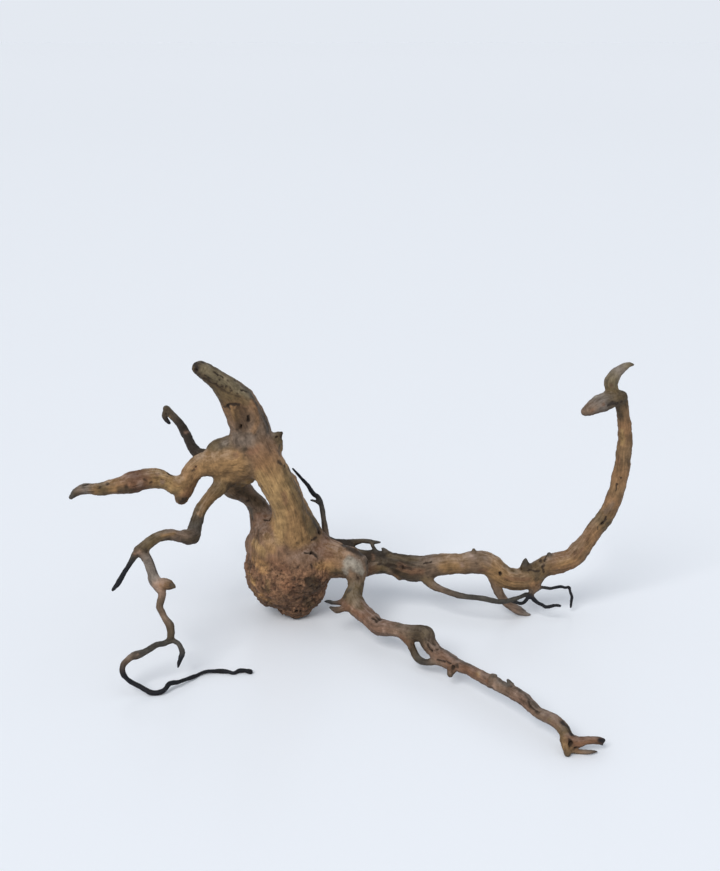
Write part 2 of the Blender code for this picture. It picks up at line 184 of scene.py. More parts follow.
limbs = {
    # The trunk leans back over the burl and ends in a broken stump.
    "trunk": [
        (1, -4, 68, 27), (0, -8, 96, 20.5), (-2, -13, 126, 17.4), (-13.5, -15, 154, 17.4),
        (-26, -13, 178, 17.5), (-40, -9, 199, 19),
    ],
    "trunkFlare": [(-6, -8, 150, 13), (4, -6, 122, 13.5), (13.5, -2, 100, 13.5), (23, 0, 80, 15.5)],
    "stump": [
        (-34, -6, 189.5, 19.2), (-41, -6, 212.5, 18.7), (-45.5, -8, 227, 17.6),
        (-52.5, -10.5, 240.5, 15.9), (-59, -14, 250.5, 12.9), (-68, -19, 261.5, 9.8),
        (-76.5, -23.5, 269.5, 8.7), (-84.5, -27, 276, 7.5),
    ],
    "stumpThorn": [(-22, -6, 190, 10), (-15, -5, 196, 6.5), (-10, -4, 201, 3.5), (-8, -4, 202.5, 1.5)],
    "thornHeel": [(-20, -9, 178, 11), (-13, -7, 186, 6), (-10, -5, 194, 3)],
    "strut": [
        (-65.5, -3, 159.5, 13.3), (-60, 5, 143.5, 12.8), (-51, 12, 134, 10.7),
        (-42.5, 17.5, 123.5, 9.3), (-35, 19.5, 111.5, 10.9), (-31, 15.5, 101.5, 13.7),
        (-26.5, 10.5, 91, 16.8), (-17, 4, 76.5, 25.2),
    ],
    "strutWeb": [(-46, -2, 159, 12), (-60, 2, 152, 9.5), (-68, 0, 146, 7)],
    # The left arm comes off the shoulder, dips at the elbow and runs out to a hooked tip.
    "shoulder": [(-28, -10, 180, 18), (-47, -9, 176, 20), (-65, -13, 175, 17.5), (-80, -17, 174, 13)],
    "shoulderTop": [(-42, -8, 198, 15), (-56, -9, 190, 12.5), (-72.5, -11, 186.5, 10.5)],
    "elbow": [
        (-76, -16, 175.5, 13.6), (-90, -19, 173.6, 10), (-97, -21, 167, 9.7),
        (-102.5, -23.5, 157, 9.3), (-106.5, -26, 148, 8.7), (-108.5, -27, 141.5, 6.5),
    ],
    "leftArm": [
        (-104, -24.5, 156.5, 8.6), (-113.5, -28, 155, 9), (-121, -30.5, 160, 7.8),
        (-128.5, -33.5, 164, 9), (-137.5, -38, 166, 9.6), (-146.5, -42.5, 166, 9.9),
        (-156, -47, 164.5, 10.5), (-165, -51.5, 164, 8.5), (-174, -55.5, 163.5, 6.9),
        (-182.5, -59, 162.5, 6.2), (-189.5, -61.5, 163.5, 4.9), (-196, -64, 164.5, 4.9),
        (-201.5, -65.5, 163.5, 4.1), (-206, -66.5, 161.5, 3.6), (-210, -68, 157.5, 1.9),
    ],
    # The back arm goes up and away, and ends in a short broken hook.
    "backArm": [
        (-74.5, 4, 167.5, 9.2), (-88, 17, 168.5, 8.3), (-98.5, 27, 171.5, 5.8), (-105, 35, 176, 5),
        (-111.5, 47, 183.5, 4.6), (-118.5, 58.5, 190.5, 4.4), (-125.5, 67.5, 195.5, 3.9),
        (-131.5, 73.5, 199, 3.7), (-136.5, 79.5, 202.5, 3.7),
    ],
    "backHook": [
        (-136.5, 78, 202, 3), (-139, 77, 196.5, 2.4), (-137, 75, 192.5, 2.4),
        (-133.5, 73, 189, 1.6),
    ],
    # The hanging arm drops forward from the shoulder and feeds the root that lies on the floor.
    "hangingArm": [
        (-62.5, -14, 162, 11.7), (-71.5, -23.5, 150.5, 7.9), (-77.5, -30.5, 145.5, 6.4),
        (-82.5, -37.5, 141, 6), (-87.5, -46.5, 135, 5.5), (-90, -56, 129, 5.8),
        (-91.5, -65.5, 123, 6.6), (-93.5, -73.5, 119, 7.4), (-102.5, -84, 123, 5.6),
        (-111.5, -91, 128, 5), (-120.5, -97, 128.5, 4.9), (-128.5, -103, 125.5, 5.1),
        (-134.5, -107.5, 122, 5.2), (-139, -110, 119.5, 4.6),
    ],
    "knee": [(-95, -75, 119, 6.6), (-91.5, -73, 116.5, 5.3)],
    "darkTwig": [
        (-138.5, -110.5, 119.5, 4), (-142.5, -112, 115.5, 3.3), (-146, -112, 109.5, 2.4),
        (-151, -113.5, 102, 2), (-156, -115, 94, 2), (-160, -116.5, 87.5, 2.1),
        (-164.5, -118, 82, 1.2),
    ],
    "dropRoot": [
        (-137, -109, 119, 4.6), (-132.5, -111.5, 113.5, 4.5), (-128.5, -114, 106, 4.2),
        (-126, -116.5, 99, 4.2), (-124, -118.5, 92.5, 5.3), (-120, -121.5, 87, 5),
        (-116.5, -124, 81.5, 3.4), (-117.5, -126, 75.5, 3.2), (-119, -128, 69.5, 3.4),
        (-117, -129.5, 65, 3), (-114, -131.5, 59, 3.1), (-109.5, -134, 53.5, 3.4),
        (-108, -136.5, 47, 3.5), (-108.5, -139.5, 41, 3.3),
    ],
    "dropKnob": [
        (-121.5, -121, 89.5, 5.2), (-114.5, -122.5, 90.5, 5.4), (-109.5, -125, 90.5, 4.6),
        (-104, -128, 90, 1.3),
    ],
    "knobBud": [(-114.5, -122.5, 92.5, 2.8), (-112, -123.5, 95.5, 1.1)],
    "dropSpur": [
        (-106.5, -139.5, 40, 2.5), (-100.5, -142, 37.5, 2), (-98, -144, 33.5, 2.1),
        (-96.5, -146, 30, 2.3), (-98, -148.5, 26, 2), (-99.5, -151, 22, 1.5),
        (-100.5, -153, 18, 0.7),
    ],
    "floorRoot": [
        (-109, -140, 39.5, 3), (-114, -143, 38.5, 2.4), (-119.5, -145.5, 38.5, 2.4),
        (-123.5, -148, 37.5, 2.8), (-128, -150.5, 35.5, 2.5), (-133.5, -153, 33.5, 3.1),
        (-138, -155, 32.5, 3.8), (-143, -158, 32, 2.9), (-146.5, -160, 29.5, 2.5),
        (-149.5, -163, 27, 2.4), (-150, -167, 23, 2.3), (-148.5, -169, 19, 2.2),
        (-145.5, -169.5, 15, 2), (-140.5, -169.5, 11, 2.1), (-134, -170, 7.5, 2.2),
        (-128, -172, 5, 2.2), (-123.5, -173, 3, 2.2), (-118, -172, 2, 2.2),
        (-112.5, -171, 3.5, 2.2), (-110, -168.5, 5, 2.1), (-108, -164.5, 7, 2.2),
        (-104.5, -161, 6.5, 2.1), (-100, -158.5, 6, 1.8), (-95.5, -152, 4.5, 1.6),
        (-89, -144, 3, 1.7), (-85, -138.5, 2, 1.4), (-80.5, -134.5, 2.5, 1.5),
        (-75, -132.5, 3, 1.6), (-68.5, -131, 2.5, 1.6), (-61.5, -130.5, 2, 2.1),
        (-56, -131.5, 2, 1.6), (-50, -133.5, 1.5, 1.4), (-45.5, -130.5, 2.5, 1.7),
        (-39.5, -130, 2.5, 1.7), (-34.5, -131.5, 2, 2.4),
    ],
    # The long right limb leaves the burl low, and turns up at its end like a neck.
    "neck": [(8, 0, 67, 27), (32, -4, 65, 22), (48, -9, 65, 18), (66, -16, 63, 14)],
    "rightLimb": [
        (27, 6, 63, 15.8), (46, 12, 60.5, 13.8), (58.5, 13.5, 58, 12.2), (70, 13.5, 55, 11.7),
        (82, 12, 54, 12.1), (94.5, 9.5, 55, 11.4), (107, 7, 53.5, 11.6), (120, 4, 50.5, 12.9),
        (134.5, 2, 50.5, 12.8), (150, 0, 55, 11.8), (165.5, -2, 58, 10.4), (179, -3, 58.5, 10.4),
        (191.5, -3, 60.5, 11.7), (204.5, -3, 58.5, 11.5), (215.5, -4, 50, 11.1),
        (227, -5, 43, 10.7), (240.5, -5, 41.5, 11.1), (252, -4, 45.5, 11.5), (262, -3, 53.5, 9.9),
        (272.5, -2, 57, 10.7), (284, 0, 59.5, 10.6), (294, 1.5, 63, 10.3), (301.5, 3.5, 70.5, 9.7),
        (309, 5.5, 80, 8.6), (316.5, 8, 91, 8.3), (324.5, 10, 101, 8.5), (331, 11.5, 112, 8.3),
        (335.5, 13.5, 123.5, 8.1), (339, 14.5, 134, 8), (341, 15.5, 145, 8.2),
        (342.5, 16, 155.5, 8.3), (343, 16, 166.5, 7.7), (343.5, 16, 177.5, 7.6),
        (344, 15.5, 188.5, 7.4), (342, 13.5, 203.5, 6.6), (339.5, 11.5, 217, 6.1),
        (337, 9.5, 228, 6.3), (334.5, 8, 236, 6.7),
    ],
    "head": [
        (334.5, 6.5, 237, 6.9), (326, 3, 237, 8.4), (318, -3, 235.5, 8.5), (310, -8, 234.5, 8.2),
        (303.5, -12, 232, 7), (298.5, -15, 230, 5.6), (295.5, -16, 229, 4.4),
    ],
    "crest": [
        (325, 4, 245.5, 6), (323.5, 4, 253.5, 6.8), (327, 6, 260, 6), (332, 7.5, 264.5, 4.8),
        (337, 9, 268, 3.8), (341.5, 10.5, 270, 2.4), (346.5, 12, 269.5, 0.9),
    ],
    "underRib": [
        (77.5, -9.5, 53.5, 6.3), (92.5, -2.5, 54.5, 5.8), (104, 0, 48.5, 3.8), (109, 0, 46.5, 4.2),
        (114.5, 0, 43.5, 5.1),
    ],
    "lobe": [(251.5, -6, 42, 10), (254, -8.5, 34.5, 6.1), (251.5, -10, 28.5, 2.9)],
    "prop": [
        (208.5, -4, 51.5, 6.9), (212, -5, 40.5, 4.9), (216, -5, 30.5, 4.6), (221, -5, 21, 4),
        (227, -5, 13.5, 3.9), (234.5, -4.5, 8, 4.1), (242, -4, 3.5, 3.7), (247, -6, 1.5, 2.3),
        (251, -6, 1, 1.1),
    ],
    "runner": [
        (138.5, -3.5, 46, 6.8), (143.5, -7, 40, 4.7), (149, -10, 36, 3.7), (156, -14.5, 34.5, 3),
        (165, -19.5, 33, 2.9), (175, -23.5, 31.5, 2.7), (185.5, -26.5, 31, 2.4),
        (195.5, -28.5, 31, 2.4), (205.5, -30, 29.5, 2.5), (214, -28.5, 27, 2.4),
        (222, -26, 26, 2.3), (229.5, -21.5, 26, 2.1), (238.5, -17, 26.5, 1.9), (245, -13.5, 28, 2),
        (249, -12, 27, 2),
    ],
    "runnerFork": [
        (250, -12.5, 27, 2.2), (253.5, -13.5, 22.5, 2), (258, -15, 19, 1.8),
        (262, -16.5, 17.5, 1.6), (266, -18, 15.5, 1.6), (272, -20, 18, 1.5),
        (276.5, -21.5, 19.5, 1.4), (280, -22, 19, 0.9),
    ],
    "runnerSpur": [
        (248.5, -12, 26, 1.8), (245.5, -13.5, 21.5, 1.7), (241, -16, 19, 1.6),
        (234.5, -18, 21, 1.5), (229.5, -19, 22.5, 1.1),
    ],
    "hairRoot": [
        (256.5, -7, 30, 2.1), (261.5, -6, 32.5, 1.6), (266, -4, 31.5, 1.4), (272, -2, 29.5, 1.4),
        (278.5, 0, 30, 1.4), (285, 2.5, 29.5, 1.5), (288.5, 3, 28, 1.3), (293, 4, 28.5, 1.4),
        (294, 4, 24, 1.3), (296.5, 4, 17, 1.3), (296, 3.5, 12.5, 1.3), (295.5, 2, 6, 1.1),
    ],
    # The front limb comes towards the front, with a side loop, and ends in a forked foot.
    "frontLimb": [
        (58, -12, 66.5, 15.1), (67, -19, 59.5, 12.4), (67.5, -26.5, 48.5, 8.3),
        (66, -33, 42.5, 8.2), (64, -39.5, 36.5, 9.8), (67.5, -48.5, 32, 9.8),
        (73.5, -57.5, 29, 8.5), (81.5, -69.5, 27, 8.1), (90.5, -82, 25, 8.1), (99, -90, 27.5, 7.1),
        (108.5, -98.5, 30, 6.9), (118, -105.5, 31, 7.2), (126.5, -111, 32.5, 7.4),
        (134.5, -116.5, 34, 8), (137.5, -123.5, 28, 7.1), (144.5, -133.5, 24, 6.6),
        (154, -145, 23.5, 6), (163.5, -156.5, 22.5, 5.4), (173.5, -167, 23.5, 4.9),
        (181.5, -176.5, 23, 5), (189, -185.5, 23, 5.8), (197.5, -196, 23.5, 5.3),
        (207, -207.5, 24, 5.7), (215.5, -219, 24, 5.3), (221.5, -228, 22, 5),
        (226.5, -236, 20, 4.8), (233, -243, 19.5, 4.7), (239, -251, 20.5, 4.9),
        (244.5, -258, 19, 5.2), (248, -264.5, 15, 5.3), (248, -269.5, 10, 4.8),
        (248.5, -274, 5, 3.5), (248.5, -275.5, 2.5, 2.7),
    ],
    "upperToe": [
        (248.5, -268.5, 13.5, 4.3), (254.5, -270, 11, 4.8), (259.5, -270, 10.5, 4.1),
        (266.5, -269, 11.5, 3.3), (273, -268, 11, 3.4), (277.5, -267, 10, 3.2),
        (280, -266, 9.5, 1.9),
    ],
    "toeSplinter": [(277.5, -267, 8.5, 1.9), (279.5, -266.5, 6, 0.9)],
    "lowerToe": [
        (249.5, -271.5, 6.5, 3.4), (253.5, -272, 4, 2.5), (260, -271, 1.5, 1.9),
        (266.5, -273, 2.5, 1.7), (271.5, -272.5, 2.5, 1.2), (274.5, -272, 2, 0.6),
    ],
    "loopRoot": [
        (114, -105.5, 28.5, 5.1), (119.5, -112, 23.5, 3.9), (122.5, -118, 18.5, 3.2),
        (126, -124.5, 14, 3.1), (131, -129.5, 12, 3.2), (136.5, -134.5, 14, 2.9),
        (144, -139, 17, 2.9), (150, -144.5, 18, 3.2), (155.5, -149.5, 18, 3.6),
        (160, -153.5, 18, 3.4),
    ],
    "loopStub": [(158, -154, 19.5, 4.3), (157, -157, 15.5, 3.9), (156, -158, 14, 2.7)],
    "frontStub": [
        (56, -43.5, 34, 4.3), (50, -45.5, 34, 2.3), (44, -47, 34.5, 1.8), (39.5, -47.5, 36, 1.7),
        (36, -48, 36.5, 1.1),
    ],
    "lowerStub": [
        (60, -49, 32, 5.7), (54, -52.5, 30.5, 3), (48.5, -55, 30, 3.2), (44, -56.5, 32.5, 2.1),
        (41.5, -57, 34, 1.2),
    ],
    "limbThorn": [(192, -192, 29.5, 3.2), (194.5, -192, 31, 1.5)],
    "footThorn": [(207.5, -205, 28, 3), (204.5, -205, 33.5, 1.3)],
    # Shoots behind the neck and small dead buds along the right limb.
    "backShoot": [
        (39.5, 11, 73.5, 8.4), (49, 15.5, 73.5, 4.9), (58.5, 19, 72, 4), (66, 21, 72.5, 2.9),
        (73.5, 22, 73.5, 2.1), (81, 22, 73, 2.2), (86, 21.5, 72.5, 1.7), (92.5, 21, 72.5, 1),
    ],
    "shootWeb": [(52.5, 13, 70.5, 5.7), (59.5, 14.5, 68.5, 4.9), (64, 14, 65, 3.8)],
    "shootStrut": [(83, 21, 73, 1.9), (85, 17.5, 69.5, 1.7), (87.5, 12, 66.5, 2)],
    "whip": [
        (34, 14, 78, 5.3), (34.5, 18.5, 86.5, 3.5), (33, 22.5, 97.5, 2.5), (31.5, 26, 107, 2.3),
        (29.5, 28.5, 115.5, 2.1), (27, 30, 120.5, 2.1), (22.5, 31, 123, 2.1),
        (19.5, 32.5, 127, 2.1), (16.5, 34.5, 131.5, 1.8), (11, 38, 136.5, 1.6),
        (5.5, 42, 141.5, 1.4), (0, 46, 146.5, 1),
    ],
    "whipSpur": [(29, 27.5, 113.5, 1.5), (25, 27, 116.5, 1.2), (20, 26, 118.5, 0.9)],
    "bendBud": [(245, -6, 55, 5.8), (244, -6, 61, 3.3), (244, -6, 64.5, 1.4)],
    "turnBud": [(270, -3, 62.5, 4.7), (269, -3, 68.5, 2.2)],
    "riseBud": [(190.5, -3, 68.5, 4.2), (190, -3, 74, 1.6)],
    "nearBud": [(101, 9, 64, 3.4), (97.5, 9, 68, 2.1), (95.5, 9, 70, 1.5)],
}

# Round lumps that make up the burl: x, y, z and radius of each.
burlLumps = [
    (-8, 2, 50, 41.5), (-11, 3, 76, 35.5), (-29, 0, 55, 21.5), (-31, 4, 77, 18), (11.5, 0, 30, 23.8),
    (3, -3, 20.8, 22.3), (9, -10, 59, 32), (-19, 2, 27, 20), (19, 10, 44, 22),
]

# Wood colours, and the ones that follow each other along every limb, from its first point to its last.
colours = {
    "light": (0.355, 0.222, 0.096), "ochre": (0.285, 0.166, 0.072), "orange": (0.250, 0.136, 0.064),
    "tan": (0.205, 0.125, 0.062), "brown": (0.196, 0.112, 0.065), "rose": (0.190, 0.112, 0.074),
    "red": (0.175, 0.088, 0.048), "pink": (0.290, 0.190, 0.135), "mauve": (0.170, 0.114, 0.076),
    "pale": (0.280, 0.245, 0.196), "grey": (0.190, 0.156, 0.128), "bark": (0.190, 0.150, 0.088),
    "olive": (0.132, 0.090, 0.043), "drab": (0.080, 0.056, 0.032), "slate": (0.062, 0.055, 0.046),
    "umber": (0.052, 0.031, 0.019), "dark": (0.024, 0.016, 0.010), "black": (0.009, 0.010, 0.014),
}
limbColours = {
    "trunk": "orange ochre ochre light orange mauve", "trunkFlare": "orange ochre olive red",
    "stump": "mauve mauve orange olive olive drab", "stumpThorn": "mauve olive dark",
    "thornHeel": "ochre olive", "strut": "ochre mauve mauve mauve red ochre",
    "strutWeb": "light ochre", "shoulder": "mauve ochre ochre ochre", "shoulderTop": "mauve olive",
    "elbow": "ochre ochre orange orange",
    "leftArm": "ochre light light light ochre red red orange ochre olive ochre grey mauve slate slate",
    # painted shade: the back arm's dark colours, for it lies behind the shoulder, out of the light
    "backArm": "olive dark dark dark dark drab drab", "backHook": "drab black",
    "hangingArm": "ochre olive ochre olive drab slate mauve mauve olive olive drab",
    "knee": "slate drab", "darkTwig": "red slate black black black black",
    "dropRoot": "mauve grey grey grey pink drab mauve mauve drab drab", "dropKnob": "pink orange drab",
    "knobBud": "olive drab", "dropSpur": "slate slate black black",
    "floorRoot": "slate slate slate mauve black black black black black black black black black black",
    "neck": "red red orange mauve",
    # painted shade: the dark colours where the right limb leaves the burl behind the neck
    "rightLimb": "orange olive drab dark dark drab mauve ochre mauve ochre ochre tan olive orange orange "
                 "tan orange olive orange tan orange tan tan orange tan drab",
    "head": "drab olive grey mauve mauve", "crest": "olive bark grey bark drab",
    "underRib": "red olive mauve orange mauve", "lobe": "orange mauve",
    "prop": "orange mauve mauve pink grey grey",
    "runner": "olive mauve slate slate slate black", "runnerFork": "black black",
    "runnerSpur": "black black", "hairRoot": "slate black black black",
    "frontLimb": "orange mauve olive olive rose rose rose mauve drab drab rose rose red rose mauve rose "
                 "rose mauve rose olive ochre drab",
    "upperToe": "red red red black", "toeSplinter": "black black", "lowerToe": "ochre mauve slate",
    "loopRoot": "red drab slate mauve red", "loopStub": "red drab", "frontStub": "red slate black",
    "lowerStub": "red mauve slate", "limbThorn": "mauve slate", "footThorn": "drab slate",
    "backShoot": "dark dark drab slate slate", "shootWeb": "dark dark", "shootStrut": "drab slate",
    "whip": "mauve slate black black black", "whipSpur": "slate slate", "bendBud": "drab slate",
    "turnBud": "drab slate", "riseBud": "orange drab", "nearBud": "drab slate",
}
burlColour = "brown"

rootSettings = {
    "smoothing loss": 0.4,             # millimetres of radius that the smoothing takes off a limb
    "limbs": {"Ring sides": 20, "Step": 2.0 * mm, "Swelling": 0.03, "Swelling scale": 34.0},
    "voxel": 1.0 * mm,
    "smoothing passes": 3,
    "carried": {                       # what the skin takes over from the limbs, and how often it's blurred
        "grain": ("FLOAT_VECTOR", 1), "zone": ("FLOAT_VECTOR", 14), "girth": ("FLOAT", 10),
        "burl": ("FLOAT", 16),
    },
    "skin": {"Drift": 3.0},            # millimetres by which the strokes' edges wander
    "drift scale": 0.16 / mm,
    "filling passes": 90,
    "filled girths": (3.0, 9.0),       # limbs thinner than the first aren't filled where they meet
    "grain jump": 4.0,                 # millimetres; a bigger jump means that two limbs meet there
    "knit widening": (5, 1.25),        # passes and gain
    "knit softening": 4,
    "knit strength": 1.4,
    "stroke core": 1.4,                # above 1, the middle of a stroke is even and only its edge fades
    "most triangles": 190000,
}


def colourAlong(name, share):
    names = limbColours[name].split()
    spot = share * (len(names) - 1)
    first = min(int(spot), len(names) - 2)
    a, b = (Vector(colours[pick]) for pick in names[first:first + 2])
    return a.lerp(b, spot - first)


# every route as a chain of points, and every lump of the burl as a loose point
def routeMesh():
    places = []
    chains = []
    girths = []
    zones = []
    burls = []
    for name, route in limbs.items():
        for index, (x, y, z, radius) in enumerate(route):
            if index:
                chains.append((len(places) - 1, len(places)))
            places.append(burlFoot + Vector((x, y, z)) * mm)
            girths.append(radius + rootSettings["smoothing loss"])
            zones.extend(colourAlong(name, index / (len(route) - 1)))
            burls.append(0.0)
    for x, y, z, radius in burlLumps:
        places.append(burlFoot + Vector((x, y, z)) * mm)
        girths.append(radius)
        zones.extend(colours[burlColour])
        burls.append(1.0)
    mesh = bpy.data.meshes.new("routes")
    mesh.from_pydata(places, chains, [])
    for name, values in (("girth", girths), ("burl", burls)):
        mesh.attributes.new(name, "FLOAT", "POINT").data.foreach_set("value", values)
    mesh.attributes.new("zone", "FLOAT_VECTOR", "POINT").data.foreach_set("vector", zones)
    return mesh


# Limbs: a ring swept along each route, with balls at its ends. "grain" holds, in millimetres, the
# place across the limb in x and y and the length along it in z, so that the wood's fibres can follow.
def buildLimbTree():
    tree, sizes = shapeTree("limbs", rootSettings["limbs"])
    chains = addNode(tree, "GeometryNodeMeshToCurve", {"Mesh": sizes["Geometry"]}).outputs[0]
    bends = addNode(tree, "GeometryNodeCurveSplineType", {"Curve": chains}, spline_type="CATMULL_ROM")
    even = addNode(tree, "GeometryNodeResampleCurve",
                   {"Curve": bends.outputs[0], "Length": sizes["Step"]}, mode="LENGTH").outputs[0]
    even = addNode(tree, "GeometryNodeSetCurveNormal", {"Curve": even}).outputs[0]
    along = tree.nodes.new("GeometryNodeSplineParameter").outputs["Length"]
    wobble = noise(tree, ownPlace(tree), sizes["Swelling scale"])
    wobble = calc(tree, "MULTIPLY_ADD", calc(tree, "SUBTRACT", wobble, 0.5),
                  calc(tree, "MULTIPLY", sizes["Swelling"], 2.0), 1.0)
    girth = calc(tree, "MULTIPLY", readAttribute(tree, "girth"), wobble)
    even = writeAttribute(tree, even, "girth", girth)
    even = writeAttribute(tree, even, "along", calc(tree, "DIVIDE", along, mm))
    ring = addNode(tree, "GeometryNodeCurvePrimitiveCircle",
                   {"Resolution": sizes["Ring sides"], "Radius": 1.0}).outputs[0]
    ring = writeAttribute(tree, ring, "across", ownPlace(tree), "FLOAT_VECTOR")
    radius = calc(tree, "MULTIPLY", readAttribute(tree, "girth"), mm)
    tubes = addNode(tree, "GeometryNodeCurveToMesh",
                    {"Curve": even, "Profile Curve": ring, "Scale": radius, "Fill Caps": True}).outputs[0]
    # balls at both ends of every limb, and one for every lump of the burl
    ball = addNode(tree, "GeometryNodeMeshIcoSphere", {"Radius": 1.0, "Subdivisions": 4}).outputs[0]
    ball = writeAttribute(tree, ball, "across", ownPlace(tree), "FLOAT_VECTOR")
    ends = addNode(tree, "GeometryNodeCurveEndpointSelection", {"Start Size": 1, "End Size": 1})
    isLump = calc(tree, "GREATER_THAN", readAttribute(tree, "burl"), 0.5)
    joined = addNode(tree, "GeometryNodeJoinGeometry")
    tree.links.new(tubes, joined.inputs[0])
    for points, chosen in ((even, ends.outputs[0]), (sizes["Geometry"], isLump)):
        placed = addNode(tree, "GeometryNodeInstanceOnPoints",
                         {"Points": points, "Selection": chosen, "Instance": ball, "Scale": radius})
        real = addNode(tree, "GeometryNodeRealizeInstances", {"Geometry": placed.outputs[0]})
        tree.links.new(real.outputs[0], joined.inputs[0])
    across = stretch(tree, readAttribute(tree, "across", "FLOAT_VECTOR"), (1.0, 1.0, 0.0))
    across = scaleBy(tree, across, readAttribute(tree, "girth"))
    lengthwise = addNode(tree, "ShaderNodeCombineXYZ", {"Z": readAttribute(tree, "along")}).outputs[0]
    grain = vectorCalc(tree, "ADD", across, lengthwise)
    finishTree(tree, writeAttribute(tree, joined.outputs[0], "grain", grain, "FLOAT_VECTOR"), None)
    return tree


# carries the limbs' attributes over to the skin round them
def buildSkinTree(limbPiece):
    tree, sizes = shapeTree("skin", rootSettings["skin"])
    source = addNode(tree, "GeometryNodeObjectInfo", {"Object": limbPiece}).outputs["Geometry"]
    place = ownPlace(tree)
    grown = sizes["Geometry"]
    for name, (kind, passes) in rootSettings["carried"].items():
        sampled = addNode(tree, "GeometryNodeSampleNearestSurface", data_type=kind, inputs={
            "Mesh": source, "Value": readAttribute(tree, name, kind), "Sample Position": place})
        blurred = addNode(tree, "GeometryNodeBlurAttribute",
                          {"Value": sampled.outputs["Value"], "Iterations": passes}, data_type=kind)
        grown = writeAttribute(tree, grown, name, blurred.outputs["Value"], kind)
    # an uneven shift, so that painted strokes get ragged edges
    drift = addNode(tree, "ShaderNodeTexNoise", {"Vector": place, "Scale": rootSettings["drift scale"]})
    drift = vectorCalc(tree, "SUBTRACT", drift.outputs["Color"], (0.5, 0.5, 0.5))
    drift = scaleBy(tree, drift, calc(tree, "MULTIPLY", sizes["Drift"], 2.0))
    finishTree(tree, writeAttribute(tree, grown, "drift", drift, "FLOAT_VECTOR"), None)
    return tree


# one skin round the limbs and lumps
def fuseLimbs(limbPiece):
    skin = newPiece("dryRoot", limbPiece.data.copy())
    remesh = skin.modifiers.new("fuse", "REMESH")
    remesh.mode = "VOXEL"
    remesh.voxel_size = rootSettings["voxel"]
    smooth = skin.modifiers.new("soften", "SMOOTH")
    smooth.factor = 0.5
    smooth.iterations = rootSettings["smoothing passes"]
    freeze(skin)
    useTree(skin, buildSkinTree(limbPiece), rootSettings["skin"])
    freeze(skin)
    return skin


# Point attributes as numpy arrays. "place" stands for the points' own places.

def readPoints(mesh, name):
    if name == "place":
        data, key, width = mesh.vertices, "co", 3
    elif mesh.attributes[name].data_type == "FLOAT_VECTOR":
        data, key, width = mesh.attributes[name].data, "vector", 3
    else:
        data, key, width = mesh.attributes[name].data, "value", 1
    values = np.empty(len(mesh.vertices) * width, np.float32)
    data.foreach_get(key, values)
    return values.reshape(-1, width) if width > 1 else values


def storePoints(mesh, name, values):
    values = np.ascontiguousarray(values, np.float32)
    if name == "place":
        mesh.vertices.foreach_set("co", values.ravel())
        mesh.update()
        return
    kind, key = ("FLOAT", "value") if values.ndim == 1 else ("FLOAT_VECTOR", "vector")
    attribute = mesh.attributes.get(name) or mesh.attributes.new(name, kind, "POINT")
    attribute.data.foreach_set(key, values.ravel())


def edgeEnds(mesh):
    edges = np.empty(len(mesh.edges) * 2, np.int32)
    mesh.edges.foreach_get("vertices", edges)
    return edges.reshape(-1, 2).T


# gives a function that averages values over every point's neighbours
def neighbourMean(mesh):
    a, b = edgeEnds(mesh)
    count = len(mesh.vertices)
    degree = np.maximum(np.bincount(a, minlength=count) + np.bincount(b, minlength=count), 1)

    def mean(values):
        if values.ndim == 1:
            total = np.bincount(a, values[b], count) + np.bincount(b, values[a], count)
            return (total / degree).astype(np.float32)
        return np.stack([mean(values[:, axis]) for axis in range(values.shape[1])], axis=1)

    return mean


# smooths the skin only where it is hollow, so that thick limbs flow into each other
def fillCreases(skin):
    mesh = skin.data
    mean = neighbourMean(mesh)
    places = readPoints(mesh, "place")
    low, high = rootSettings["filled girths"]
    share = np.clip((readPoints(mesh, "girth") - low) / (high - low), 0.0, 1.0)
    normals = np.empty(len(mesh.vertices) * 3, np.float32)
    for turn in range(rootSettings["filling passes"]):
        if turn % 6 == 0:      # the normals change slowly, so every sixth time will do
            storePoints(mesh, "place", places)
            mesh.vertex_normals.foreach_get("vector", normals)
            facing = normals.reshape(-1, 3)
        rise = ((mean(places) - places) * facing).sum(axis=1)
        places = places + facing * (np.clip(rise, 0.0, None) * share)[:, None]
    storePoints(mesh, "place", places)


# "knit" is 1 where one limb's grain meets another's, because the grain can't be followed there
def findKnits(skin):
    mesh = skin.data
    mean = neighbourMean(mesh)
    a, b = edgeEnds(mesh)
    grain = readPoints(mesh, "grain")
    jump = np.linalg.norm(grain[a] - grain[b], axis=1) > rootSettings["grain jump"]
    knit = np.zeros(len(mesh.vertices), np.float32)
    knit[a[jump]] = 1.0
    knit[b[jump]] = 1.0
    passes, gain = rootSettings["knit widening"]
    for turn in range(passes):
        knit = np.maximum(knit, mean(knit) * gain)
    for turn in range(rootSettings["knit softening"]):
        knit = mean(knit)
    storePoints(mesh, "knit", np.clip(knit * rootSettings["knit strength"], 0.0, 1.0))


limbPiece = newPiece("limbs", routeMesh())
useTree(limbPiece, buildLimbTree(), rootSettings["limbs"])
freeze(limbPiece)
print("limbs:", len(limbPiece.data.polygons), "faces")
skin = fuseLimbs(limbPiece)
bpy.data.objects.remove(limbPiece, do_unlink=True)
fillCreases(skin)
findKnits(skin)
print("skin:", len(skin.data.polygons), "faces")


